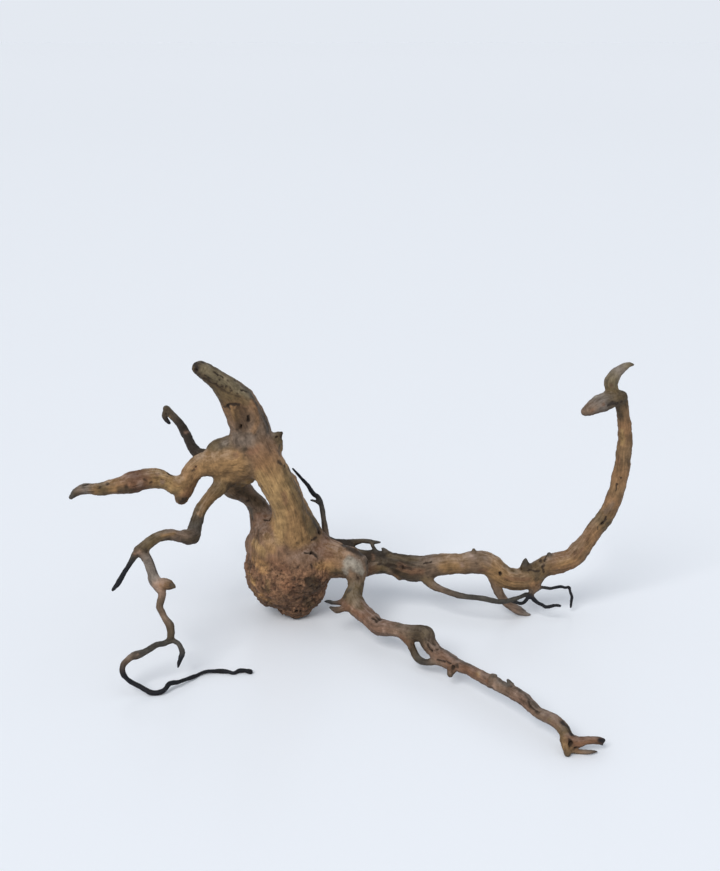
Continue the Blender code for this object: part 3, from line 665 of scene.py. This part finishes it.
# Kinds of stroke that are laid on the skin: the colour, how strongly it covers, and how deep it cuts
# in millimetres, or how far it stands out where that is below zero.
strokeKinds = {
    "bark": ("bark", 0.95, -0.9),          # the band of bark that is left on the stump
    "dusk": ("slate", 0.7, 0.0),           # bluish shade along an edge
    "edge": ("umber", 0.6, 0.8),           # the step under the bark
    "knot": ("umber", 0.85, 0.8),
    "shade": ("drab", 0.8, 0.3),
    "hole": ("dark", 1.0, 3.2),
    "darkEdge": ("black", 0.9, 0.2),
    "crack": ("dark", 0.8, 1.0),
    # olive wood in patches, and painted shade down the unlit right side of the trunk
    "oliveAndShade": ("olive", 0.7, 0.0),
    "ridge": ("orange", 0.6, -1.5),        # the raised rim beside the stump's hollow
    "basin": ("orange", 0.3, 2.2),         # the hollow itself
    "ochre": ("ochre", 0.8, 0.0),
    "ash": ("grey", 0.45, 0.0),
    "rosy": ("red", 0.65, -0.2),
    "gold": ("ochre", 0.85, 0.0),
    # a lighter wood colour, laid as painted highlight on the lit front of the trunk and the upper left of
    # the burl
    "light": ("light", 0.85, 0.0),
    "pale": ("pale", 0.9, -0.4),           # bare pale wood behind the neck
    "gloom": ("dark", 0.8, 0.5),           # a deep shaded hollow
    "pink": ("pink", 0.75, -0.2),
    "inky": ("black", 1.0, 0.4),
    "mauveTint": ("mauve", 0.75, 0.0),
}

# Each stroke: its radius, then the places that it runs through, on the skin or close to it.
strokes = {
    "bark": [
        (9, (-79, -32, 278), (-72, -30, 272), (-64, -27, 266), (-54, -23, 259), (-46, -20, 252),
         (-39, -17, 246)),
    ],
    "dusk": [
        (5.5, (-44, -14, 254), (-34, -15, 240), (-28, -13, 228), (-23, -11, 215), (-21, -13, 208)),
        (4.5, (0, -16, 167), (7, -18, 150), (14, -17, 131), (21, -10, 114), (28, -7, 100)),
        (3.5, (-9, -10, 191), (-10, -17, 185)), (4, (-45, 11, 115), (-41, 8, 106)),
        (4, (77, -22, 69), (79, -23, 62)), (3.5, (61, -41, 46), (56, -46, 39)),
        (2.8, (149, -134, 30), (157, -148, 29), (167, -160, 28), (177, -171, 29)), (3, (192, -195, 32)),
        (3, (204, -206, 31)), (2.8, (198, -198, 29), (205, -209, 30)),
        (3, (212, -214, 30), (220, -225, 28), (227, -238, 25)), (3.5, (243, -9, 62)), (3, (318, 1, 256)),
        (4.5, (-210, -70, 158)), (3, (-76, -26, 157)), (4, (-84, -56, 133), (-85, -65, 126)),
        (3, (-106, -129, 91)),
    ],
    "edge": [
        (1.9, (-82, -32, 268), (-75, -30, 263), (-69, -29, 260), (-62, -28, 254), (-55, -26, 250),
         (-47, -24, 246), (-38, -19, 242), (-31, -15, 235)),
    ],
    "knot": [
        (2.2, (-79, -33, 270)), (2, (-64, -28, 259)), (2, (-60, -27, 257)), (2, (-55, -26, 253)),
        (2, (-69, -30, 262)), (2, (-76, -32, 266)), (2.2, (-56, -26, 256)), (2, (-49, -24, 250)),
        (1.8, (-58, -24, 263)), (3.4, (-87, -32, 282)), (3.2, (-81, -30, 282)), (2, (-61, -23, 236)),
        (2.2, (-51, -22, 212)), (3.2, (-10, -24, 179), (-7, -23, 176)), (2.6, (-4, -20, 173)),
        (3, (-8, -7, 200)), (5, (29, -8, 97)), (2.8, (-52, -4, 139)), (2.8, (-45, 6, 125)),
        (2.4, (-6, -39, 57)), (2, (4, -41, 57)), (2, (-9, -37, 66)), (2, (-19, -38, 56)), (2, (1, -40, 66)),
        (2, (-2, -40, 53)), (2, (8, -40, 70)), (2, (-15, -38, 45)), (2, (11, -41, 50)), (2, (-4, -36, 35)),
        (2, (15, -33, 38)), (2.4, (-2, -24, 15)), (4, (17, -41, 58), (19, -40, 53)),
        (2.2, (22, -36, 73), (22, -37, 69)), (2.6, (69, -33, 55)), (2.4, (73, -40, 41)),
        (3.6, (89, -79, 34), (91, -83, 33)), (2.8, (143, -131, 32)), (2.4, (144, -138, 30)),
        (3, (162, -162, 25)), (2.8, (207, -210, 30)), (2.4, (221, -234, 24)), (2.4, (141, -8, 61)),
        (2.8, (265, -7, 65)), (2.4, (262, -11, 60)), (2.6, (326, 2, 106)), (2.2, (340, 7, 150)),
        (3.2, (333, -2, 234)), (3, (-140, -50, 169)), (2.8, (-135, -48, 165)), (3, (-157, -58, 164)),
        (2.8, (-120, -32, 170), (-117, -30, 167)), (2.4, (-182, -64, 166)), (2.4, (-175, -60, 169)),
        (4, (-108, -33, 139)), (2.6, (-95, -30, 171)), (2.4, (-136, 73, 199)), (1.8, (-130, -112, 119)),
    ],
    "shade": [
        (7, (-86, -33, 280)), (5, (-67, -20, 194)), (5, (-44, -27, 193)),
        (7, (-60, -25, 153), (-50, -3, 140), (-41, 7, 128), (-31, 12, 119)),
        (10, (22, -39, 54), (27, -29, 40)), (8, (15, -25, 27), (20, -18, 17)), (4.5, (110, -102, 37)),
        (6.5, (123, -115, 38), (128, -121, 38)), (6, (84, 2, 62), (96, -3, 60), (107, -4, 58)),
        (4, (255, -15, 45), (256, -14, 52)), (5, (332, 6, 226), (336, 6, 215)),
        (5, (-154, -56, 160), (-163, -59, 162)), (4, (-205, -70, 162)),
        (5.5, (-112, -33, 142), (-105, -32, 140)), (5, (-100, -88, 120), (-94, -84, 118), (-88, -78, 117)),
        (3, (-111, -96, 126), (-124, -105, 123)), (4, (-132, -112, 121)),
    ],
    "hole": [
        (2.6, (-88, -34, 276)), (2.4, (-39, -24, 226), (-39, -25, 222)),
        (2.2, (-48, -24, 216), (-49, -24, 214)), (2, (-13, -10, 200)), (3, (30, -8, 95)),
        (2.8, (-21, -6, 110)), (2.4, (5, -24, 13)), (2.2, (10, -23, 13)), (2.2, (18, -20, 18)),
        (2, (21, -29, 81)), (2, (90, -81, 33)), (2.2, (140, -137, 27)), (2.6, (159, -160, 22)),
        (3, (251, -275, 12)), (2.2, (256, -274, 7)), (2.2, (116, -7, 56)), (2.2, (217, -15, 52)),
        (2.2, (323, 1, 102)), (1.8, (-93, -29, 175)),
    ],
    "darkEdge": [
        (2.4, (-89, -29, 282), (-87, -34, 279), (-88, -34, 274)), (2, (-80, -25, 282), (-85, -32, 282)),
        (3.4, (245, -260, 24), (250, -265, 21), (253, -269, 17)),
    ],
    "crack": [
        (1.3, (-77, -32, 268), (-72, -31, 266)), (1.3, (-66, -29, 264), (-62, -28, 260)),
        (1.2, (-47, -21, 253), (-41, -16, 249)), (1.2, (-71, -29, 273), (-64, -26, 267)),
        (1.7, (-64, -20, 234), (-59, -25, 238), (-53, -26, 239), (-48, -26, 238)),
        (1.5, (-59, -25, 238), (-58, -24, 234)), (2, (22, -17, 91), (26, -14, 92)),
        (1.6, (-29, 0, 107), (-24, -6, 108)), (1.9, (16, -31, 82), (21, -29, 81), (27, -28, 78)),
        (1.7, (83, -79, 33), (88, -85, 32)), (1.4, (136, -131, 31), (139, -137, 27)),
        (1.3, (144, -144, 21), (152, -152, 24), (157, -157, 25)),
        (1.7, (219, -230, 26), (222, -235, 24), (225, -241, 22), (229, -245, 23)),
        (1.6, (249, -273, 15), (251, -275, 10)),
        (2.6, (79, -20, 68), (92, -7, 60), (105, -4, 57), (115, -7, 56), (126, -9, 55)),
        (1.3, (138, -8, 61), (145, -8, 63)), (1.7, (239, -9, 54), (248, -12, 55), (257, -13, 55)),
        (1.7, (260, -5, 64), (261, -11, 59), (263, -13, 53)), (1.5, (267, -3, 68), (264, -9, 63)),
        (1.5, (319, 1, 97), (324, 2, 104), (330, 3, 111)), (1.3, (336, 7, 136), (337, 8, 143)),
        (1.3, (-197, -67, 169), (-189, -62, 169)),
    ],
    "oliveAndShade": [
        (6, (-60, -27, 250), (-51, -26, 245), (-41, -23, 241)),
        # painted shade down the right side of the trunk, away from the light
        (7, (-4, -23, 170), (4, -25, 151), (11, -24, 132), (16, -19, 114), (20, -16, 99)),
        (5, (-23, -36, 53), (-24, -36, 43)), (6, (43, -26, 59), (52, -27, 61)),
        (6, (67, -38, 49), (65, -51, 42), (72, -63, 36)), (6, (134, -122, 40)), (4, (236, -254, 23)),
        (5, (103, 3, 65), (115, 1, 63), (130, -1, 63)), (5, (233, -8, 52), (223, -8, 58)),
        (4, (321, 8, 111)),
    ],
    "ridge": [
        (4.5, (-36, -19, 240), (-32, -19, 229), (-31, -21, 220), (-34, -24, 211)),
    ],
    "basin": [
        (9, (-47, -26, 232), (-47, -25, 222), (-46, -25, 213)),
    ],
    "ochre": [
        (6, (-53, -25, 231), (-52, -24, 223)), (8, (-41, -17, 35), (-33, -24, 29)),
    ],
    "ash": [
        (11, (-52, -23, 203), (-40, -28, 202)), (7, (-63, -17, 197)), (4, (250, -13, 32)),
        (3, (242, -13, 33)), (6, (307, -11, 242)),
    ],
    "rosy": [
        (6, (-38, -29, 190), (-31, -29, 194)), (5, (-52, -26, 187)), (5, (-5, -32, 147), (-4, -31, 138)),
        (4, (-5, -28, 104), (-6, -28, 96)), (4.5, (-37, 6, 109), (-28, 3, 109)),
        (9, (-19, -32, 72), (-6, -36, 69)), (12, (-2, -39, 50)), (6, (26, -22, 83), (40, -22, 77)),
        (5, (55, -54, 34), (64, -60, 32), (74, -72, 31)), (5, (77, -74, 33)),
        (4, (148, -146, 28), (156, -154, 27)), (4, (187, -192, 25)), (3, (261, -274, 13)),
        (6, (113, -6, 57), (126, -10, 53), (135, -11, 53)), (3, (85, 5, 65), (85, 1, 62)),
        (4, (196, -14, 55), (201, -14, 56)), (3.5, (223, -15, 48), (235, -15, 46), (247, -16, 47)),
        (2.6, (304, -4, 78), (300, -6, 72)), (3, (307, -2, 85)), (3, (337, 10, 165), (338, 10, 172)),
        (4, (295, -6, 72)), (3, (313, -16, 236)), (3, (301, -20, 231)), (2.6, (323, -3, 252)),
        (4.5, (-138, -48, 171)), (5, (-152, -57, 165)), (4, (-129, -42, 171)), (5, (-103, -34, 147)),
        (4, (-93, -29, 174)), (3.4, (-111, 45, 188)), (2.4, (-142, -115, 118)),
    ],
    "gold": [
        (8, (-73, -29, 180)), (6, (-52, -29, 177)), (10, (-38, -20, 72), (-27, -31, 66)),
        (8, (-24, -23, 96), (-19, -29, 87)), (7, (-30, -29, 34), (-22, -29, 27)),
        (7, (28, -33, 69), (40, -26, 65)), (4, (180, -181, 27)), (2.4, (246, -272, 16)),
        (8, (159, -12, 59), (171, -13, 58)), (6, (279, -11, 63), (290, -9, 65)),
        (7, (-112, -36, 160), (-102, -33, 161)), (4, (-82, -45, 143), (-87, -56, 135)),
        (3, (-107, -93, 130), (-117, -100, 131)),
    ],
    "light": [
        # painted highlight: the lit streak down the front of the trunk
        (9, (-29, -29, 166), (-19, -31, 151), (-11, -30, 134), (-8, -28, 113), (-11, -27, 95)),
        (6, (-23, -31, 158), (-17, -29, 140), (-15, -24, 120), (-14, -24, 103)),
        (8, (-38, -17, 88), (-29, -27, 82)), (5, (-43, -20, 52), (-38, -26, 47)),
        (4, (340, 9, 188), (338, 9, 201)), (2, (-132, 69, 196)),
    ],
    "pale": [
        (8, (62, -27, 71), (68, -29, 67)), (5.5, (60, -25, 74), (73, -30, 60)),
        (5, (57, -27, 71), (57, -28, 60)), (3.6, (306, -9, 242)),
    ],
    "gloom": [
        (7, (56, -8, 82), (63, -16, 81), (71, -16, 76), (79, 4, 63)), (4, (50, 12, 78), (57, -7, 81)),
        (3, (319, -13, 235), (324, -10, 236), (329, -5, 234)),
    ],
    "pink": [
        (3, (63, -58, 34)), (4, (95, -96, 28)), (3, (106, -106, 30)), (2.6, (156, -160, 17)),
        (4.5, (193, -199, 24)), (4, (211, -220, 27)), (4.5, (188, -10, 70)), (4, (177, -13, 62)),
        (5, (-145, -53, 166)), (4.5, (-124, -42, 164)), (2.8, (-138, -115, 119)), (3.4, (-121, -126, 92)),
        (2.6, (-115, -128, 92)), (1.8, (-137, -158, 35)),
    ],
    "inky": [
        (3.6, (277, -270, 13), (279, -269, 11)),
    ],
    "mauveTint": [
        (6, (201, -11, 68), (205, -14, 63)), (4, (327, 4, 114), (333, 5, 123)),
    ],
}

def paintStrokes(skin):
    mesh = skin.data
    places = (readPoints(mesh, "place") - np.array(burlFoot, np.float32)) / mm + readPoints(mesh, "drift")
    zone = readPoints(mesh, "zone")
    dent = np.zeros(len(places), np.float32)
    mark = np.zeros(len(places), np.float32)
    for kind, laid in strokes.items():
        colour, cover, depth = strokeKinds[kind]
        for radius, *route in laid:
            route = np.array(route, np.float32)
            low = route.min(axis=0) - radius
            high = route.max(axis=0) + radius
            near = np.flatnonzero(np.all((places > low) & (places < high), axis=1))
            gap = np.linalg.norm(places[near] - route[0], axis=1)
            for a, b in zip(route, route[1:]):
                line = b - a
                share = np.clip(((places[near] - a) @ line) / float(line @ line), 0.0, 1.0)
                gap = np.minimum(gap, np.linalg.norm(places[near] - a - share[:, None] * line, axis=1))
            reach = np.clip(rootSettings["stroke core"] * (1.0 - gap / radius), 0.0, 1.0)
            reach = reach * reach * (3.0 - 2.0 * reach)
            zone[near] += (reach * cover)[:, None] * (np.array(colours[colour], np.float32) - zone[near])
            dent[near] += reach * depth
            if colour == "dark":
                mark[near] = np.maximum(mark[near], reach * cover)
    storePoints(mesh, "zone", zone)
    storePoints(mesh, "dent", dent)
    storePoints(mesh, "mark", mark)


paintStrokes(skin)
print("strokes painted")


# Weathering: the relief of the skin. Depths and heights are in millimetres, except the flutes' depth,
# which is a share of the limb's radius.
weathering = {
    "Flute depth": 0.26,
    "Fibre depth": 0.85,
    "Knob height": 3.0,
    "Bump height": 2.2,
    "Crack depth": 0.7,
    "Knot depth": 0.8,
    "Crust height": 8.0,
    "Pit depth": 1.8,
    "Burl full": 56.0,      # the crust is whole up to here
    "Burl top": 86.0,       # and ends here, above the burl's foot
}

# How fine its patterns are, per millimetre. Those with three numbers follow the grain: the last is along it.
reliefPatterns = {
    "flute": (1.0, 1.0, 0.22),      # per radius of the limb
    "fibre": (0.62, 0.62, 0.045),
    "crack": (0.15, 0.15, 0.012),
    "cracked parts": 0.035,
    "knob": 0.055,
    "bump": 0.17,
    "knot": 0.033,
    "crust": 0.15,
    "pit": 0.24,
    "pitted parts": 0.07,
}


def buildWeatheringTree(material):
    tree, sizes = shapeTree("weathering", weathering)
    inMm = stretch(tree, vectorCalc(tree, "SUBTRACT", ownPlace(tree), tuple(burlFoot)), (1 / mm,) * 3)
    height = addNode(tree, "ShaderNodeSeparateXYZ", {0: inMm}).outputs["Z"]
    low = ramp(tree, height, sizes["Burl full"], sizes["Burl top"], 1.0, 0.0)
    lowBurl = product(tree, readAttribute(tree, "burl"), low)
    grown = writeAttribute(tree, sizes["Geometry"], "burl", lowBurl)
    burl = readAttribute(tree, "burl")
    grain = readAttribute(tree, "grain", "FLOAT_VECTOR")
    girth = readAttribute(tree, "girth")
    offBurl = calc(tree, "SUBTRACT", 1.0, burl)
    grained = product(tree, calc(tree, "SUBTRACT", 1.0, readAttribute(tree, "knit")), offBurl)
    thick = ramp(tree, girth, 1.5, 7.0, 0.3, 1.0)      # thin limbs are smoother

    def pattern(name, *look):
        scale = reliefPatterns[name]
        if isinstance(scale, tuple):
            return noise(tree, stretch(tree, grain, scale), 1.0, *look)
        return noise(tree, inMm, scale, *look)

    def swing(value, depth):
        return product(tree, calc(tree, "SUBTRACT", value, 0.5), depth)

    # long flutes and fine fibres that follow each limb
    girths = addNode(tree, "ShaderNodeCombineXYZ", {"X": girth, "Y": girth, "Z": girth}).outputs[0]
    byGirth = stretch(tree, vectorCalc(tree, "DIVIDE", grain, girths), reliefPatterns["flute"])
    flute = noise(tree, byGirth, 1.1, 2.0, 0.5, 0.3)
    flute = product(tree, swing(flute, sizes["Flute depth"]), girth, grained)
    fibre = product(tree, swing(pattern("fibre", 3.0, 0.6, 0.4), sizes["Fibre depth"]), thick, grained)
    # soft knobs and small bumps all over
    knob = product(tree, swing(pattern("knob"), sizes["Knob height"]), thick)
    bump = product(tree, swing(pattern("bump", 3.0, 0.6), sizes["Bump height"]),
                   ramp(tree, girth, 1.5, 7.0, 0.5, 1.0))
    # drying cracks, in some parts only
    web = cells(tree, stretch(tree, grain, reliefPatterns["crack"]), 1.0, "DISTANCE_TO_EDGE")
    crack = product(tree, ramp(tree, web, 0.0, 0.05, 1.0, 0.0), thick, grained,
                    ramp(tree, pattern("cracked parts", 1.0), 0.52, 0.62))
    # small knots scattered over the thicker limbs
    knot = ramp(tree, cells(tree, inMm, reliefPatterns["knot"]), 0.03, 0.075, 1.0, 0.0)
    knot = product(tree, knot, offBurl, ramp(tree, girth, 4.0, 6.0))
    # the burl's crust, with pits
    crust = product(tree, swing(pattern("crust", 6.0, 0.66, 0.5), sizes["Crust height"]), burl)
    pit = ramp(tree, cells(tree, inMm, reliefPatterns["pit"]), 0.12, 0.42, 1.0, 0.0)
    pit = product(tree, pit, burl, ramp(tree, pattern("pitted parts", 1.0), 0.42, 0.6))

    cut = addUp(tree, product(tree, crack, sizes["Crack depth"]), product(tree, pit, sizes["Pit depth"]),
                product(tree, knot, sizes["Knot depth"]), readAttribute(tree, "dent"))
    fine = calc(tree, "SUBTRACT", addUp(tree, fibre, crust, bump), cut)
    relief = addUp(tree, fine, flute, knob)
    # what the wood's colour needs: how far it faces up, where it is split, and where it is hollow, to take
    # painted shade
    normal = tree.nodes.new("GeometryNodeInputNormal").outputs[0]
    up = addNode(tree, "ShaderNodeSeparateXYZ", {0: normal}).outputs["Z"]
    up = addNode(tree, "GeometryNodeBlurAttribute", {"Value": up, "Iterations": 6}, data_type="FLOAT")
    split = calc(tree, "MAXIMUM", crack, calc(tree, "MAXIMUM", pit, knot))
    grown = writeAttribute(tree, grown, "skyward", up.outputs["Value"])
    grown = writeAttribute(tree, grown, "hollow", ramp(tree, fine, -1.0, 0.1, 1.0, 0.0))
    grown = writeAttribute(tree, grown, "split", split)
    push = scaleBy(tree, normal, product(tree, relief, mm))
    moved = addNode(tree, "GeometryNodeSetPosition", {"Geometry": grown, "Offset": push})
    smooth = addNode(tree, "GeometryNodeSetShadeSmooth", {"Geometry": moved.outputs[0]})
    finishTree(tree, smooth.outputs[0], material)
    return tree


# Bare weathered wood: its colour comes from the zones, its pattern from the grain.
woodLook = {
    "streaks": (0.42, 0.05),       # scale per millimetre, across the grain and along it
    "hairs": (1.9, 0.12),
    "patches": 0.11,               # scales per millimetre, the same every way
    "specks": 0.5,
    "burl lumps": 0.16,
    "streak share": 0.45,          # of streaks against patches
    "hair share": 0.22,            # of hairs against both
    "shades": (0.40, 1.42),        # darkest and lightest wood, as shares of the zone's colour
    "bleachedAndLit": (0.6, 1.12),          # saturation and brightness of upward wood: sun-bleaching and painted sheen
    "most faded": 0.7,
    "underside": 0.55,             # how far the underside goes to the deep colour, as painted shade
    # how strongly the hollows take painted shade
    "hollows": 0.6,
    "splits": 0.75,
    "marks": 0.8,
    "deep": (0.030, 0.019, 0.012, 1.0),
    "burl low": (0.72, 0.62, 0.60, 1.0),       # tints of the burl's zone colour
    "burl high": (1.50, 1.42, 1.32, 1.0),
    "roughness": (0.48, 0.80),
    "gloss": 0.2,
    "bump height": 0.5 * mm,
}


def makeWood():
    material = bpy.data.materials.new("dryWood")
    material.use_nodes = True
    tree = material.node_tree
    shader = tree.nodes["Principled BSDF"]
    deep = woodLook["deep"]

    def carried(name, output="Fac"):
        return addNode(tree, "ShaderNodeAttribute", attribute_name=name).outputs[output]

    grain = carried("grain", "Vector")
    knit = carried("knit")
    skyward = carried("skyward")
    inMm = stretch(tree, tree.nodes.new("ShaderNodeTexCoord").outputs["Object"], (1 / mm,) * 3)

    # noise that follows the grain, and is the same every way where limbs meet
    def alongGrain(name, *look):
        across, along = woodLook[name]
        follow = noise(tree, stretch(tree, grain, (across, across, along)), 1.0, *look)
        loose = noise(tree, inMm, (across * along) ** 0.5, *look)
        return addNode(tree, "ShaderNodeMix", {0: knit, 2: follow, 3: loose}, data_type="FLOAT").outputs[0]

    streak = alongGrain("streaks", 5.0, 0.65, 0.6)
    hair = alongGrain("hairs", 3.0, 0.6, 0.2)
    patch = noise(tree, inMm, woodLook["patches"], 5.0, 0.65, 0.4)
    speck = noise(tree, inMm, woodLook["specks"], 4.0, 0.7)

    # lighter and darker streaks, patches and hairs of the zone's colour
    shade = patch
    for finer, share in ((streak, woodLook["streak share"]), (hair, woodLook["hair share"])):
        shade = calc(tree, "MULTIPLY_ADD", finer, share, calc(tree, "MULTIPLY", shade, 1.0 - share))
    darkest, lightest = woodLook["shades"]
    tone = addNode(tree, "ShaderNodeMapRange", {"Value": shade, "From Min": 0.38, "From Max": 0.62,
                                                "To Min": darkest, "To Max": lightest})
    wood = scaleBy(tree, carried("zone", "Color"), tone.outputs[0])
    # greyer and lighter facing up: sun-bleaching and a painted sheen of light from above; painted shade
    # below
    saturation, brightness = woodLook["bleachedAndLit"]
    bleachedAndLit = addNode(tree, "ShaderNodeHueSaturation", {"Saturation": saturation, "Value": brightness,
                                                      "Color": wood}).outputs[0]
    # painted sheen: upward faces turn greyer and lighter, partly as sun-bleaching
    bleachAndSheen = product(tree, ramp(tree, skyward, 0.2, 0.95), ramp(tree, addUp(tree, patch, streak), 0.8, 1.15),
                   woodLook["most faded"])
    wood = mixColours(tree, bleachAndSheen, wood, bleachedAndLit)
    # painted shade: the underside goes towards the deep colour
    wood = mixColours(tree, ramp(tree, skyward, -0.9, 0.0, woodLook["underside"], 0.0), wood, deep)
    # the burl's crust, lumpy and specked
    lumpy = ramp(tree, noise(tree, inMm, woodLook["burl lumps"], 6.0, 0.72, 0.6), 0.40, 0.60)
    tint = mixColours(tree, lumpy, woodLook["burl low"], woodLook["burl high"])
    crust = vectorCalc(tree, "MULTIPLY", wood, tint)
    crust = mixColours(tree, ramp(tree, speck, 0.33, 0.45, 0.65, 0.0), crust, deep)
    wood = mixColours(tree, carried("burl"), wood, crust)
    # painted shade in hollows; darker also in splits and under the dark stroke marks
    dark = calc(tree, "MAXIMUM", calc(tree, "MULTIPLY", carried("hollow"), woodLook["hollows"]),
                calc(tree, "MULTIPLY", carried("split"), woodLook["splits"]))
    wood = mixColours(tree, dark, wood, deep)
    wood = mixColours(tree, calc(tree, "MULTIPLY", carried("mark"), woodLook["marks"]), wood, deep)
    tree.links.new(wood, shader.inputs["Base Color"])

    smoothest, roughest = woodLook["roughness"]
    tree.links.new(ramp(tree, speck, 0.3, 0.7, smoothest, roughest), shader.inputs["Roughness"])
    shader.inputs["Specular IOR Level"].default_value = woodLook["gloss"]
    fineRelief = calc(tree, "MULTIPLY_ADD", hair, 0.6, calc(tree, "MULTIPLY", speck, 0.5))
    bump = addNode(tree, "ShaderNodeBump", {"Strength": 1.0, "Distance": woodLook["bump height"],
                                           "Height": fineRelief})
    tree.links.new(bump.outputs[0], shader.inputs["Normal"])
    return material


def thinOut(skin):
    skin.data.calc_loop_triangles()
    ratio = rootSettings["most triangles"] / len(skin.data.loop_triangles)
    if ratio < 1.0:
        thin = skin.modifiers.new("thin out", "DECIMATE")
        thin.ratio = ratio
        freeze(skin)


# nothing goes below the floor
def settle(skin):
    places = readPoints(skin.data, "place")
    places[:, 2] = np.maximum(places[:, 2], 0.0)
    storePoints(skin.data, "place", places)


useTree(skin, buildWeatheringTree(makeWood()), weathering)
freeze(skin)
print("weathered:", len(skin.data.polygons), "faces")
thinOut(skin)
settle(skin)
print("root finished:", len(skin.data.polygons), "faces")
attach(skin, "root")
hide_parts("dry_root")


# Studio: a pale floor under soft light.
studio = {
    "floor colour": (0.845, 0.885, 0.945, 1.0),
    "floor half side": 60.0,
    "floor roughness": 0.3,
    "floor gloss": 0.4,
    "zenith colour": (0.57, 0.59, 0.62, 1.0),
    "horizon colour": (0.776, 0.816, 0.878, 1.0),
    "horizon band": (0.02, 0.35),      # heights, out of 1, between which the one turns into the other
    "sky strength": 1.0,
    "sun place": (-0.60, -1.0, 1.15),
    "sun angle": 32.0,
    "sun strength": 1.85,
    "sun colour": (1.0, 0.97, 0.93),
}


def makeFloor():
    side = studio["floor half side"]
    mesh = bpy.data.meshes.new("floor")
    corners = [(-side, -side, 0.0), (side, -side, 0.0), (side, side, 0.0), (-side, side, 0.0)]
    mesh.from_pydata(corners, [], [(0, 1, 2, 3)])
    material = bpy.data.materials.new("paleFloor")
    material.use_nodes = True
    shader = material.node_tree.nodes["Principled BSDF"]
    shader.inputs["Base Color"].default_value = studio["floor colour"]
    shader.inputs["Roughness"].default_value = studio["floor roughness"]
    shader.inputs["Specular IOR Level"].default_value = studio["floor gloss"]
    mesh.materials.append(material)
    newPiece("floor", mesh)


# the sky is brightest at the horizon, where it carries the floor's colour on into the distance
def makeSky():
    world = bpy.data.worlds.new("sky")
    world.use_nodes = True
    tree = world.node_tree
    direction = tree.nodes.new("ShaderNodeTexCoord").outputs["Generated"]
    height = ramp(tree, addNode(tree, "ShaderNodeSeparateXYZ", {0: direction}).outputs["Z"],
                  *studio["horizon band"])
    colour = mixColours(tree, height, studio["horizon colour"], studio["zenith colour"])
    sky = tree.nodes["Background"]
    tree.links.new(colour, sky.inputs["Color"])
    sky.inputs["Strength"].default_value = studio["sky strength"]
    bpy.context.scene.world = world


def makeSun():
    lamp = bpy.data.lights.new("softSun", "SUN")
    lamp.angle = math.radians(studio["sun angle"])
    lamp.energy = studio["sun strength"]
    lamp.color = studio["sun colour"]
    light = newPiece("softSun", lamp)
    light.rotation_euler = Vector(studio["sun place"]).to_track_quat("Z", "Y").to_euler()


makeFloor()
makeSky()
makeSun()
bpy.context.scene.view_settings.view_transform = "Standard"
print("studio lit")
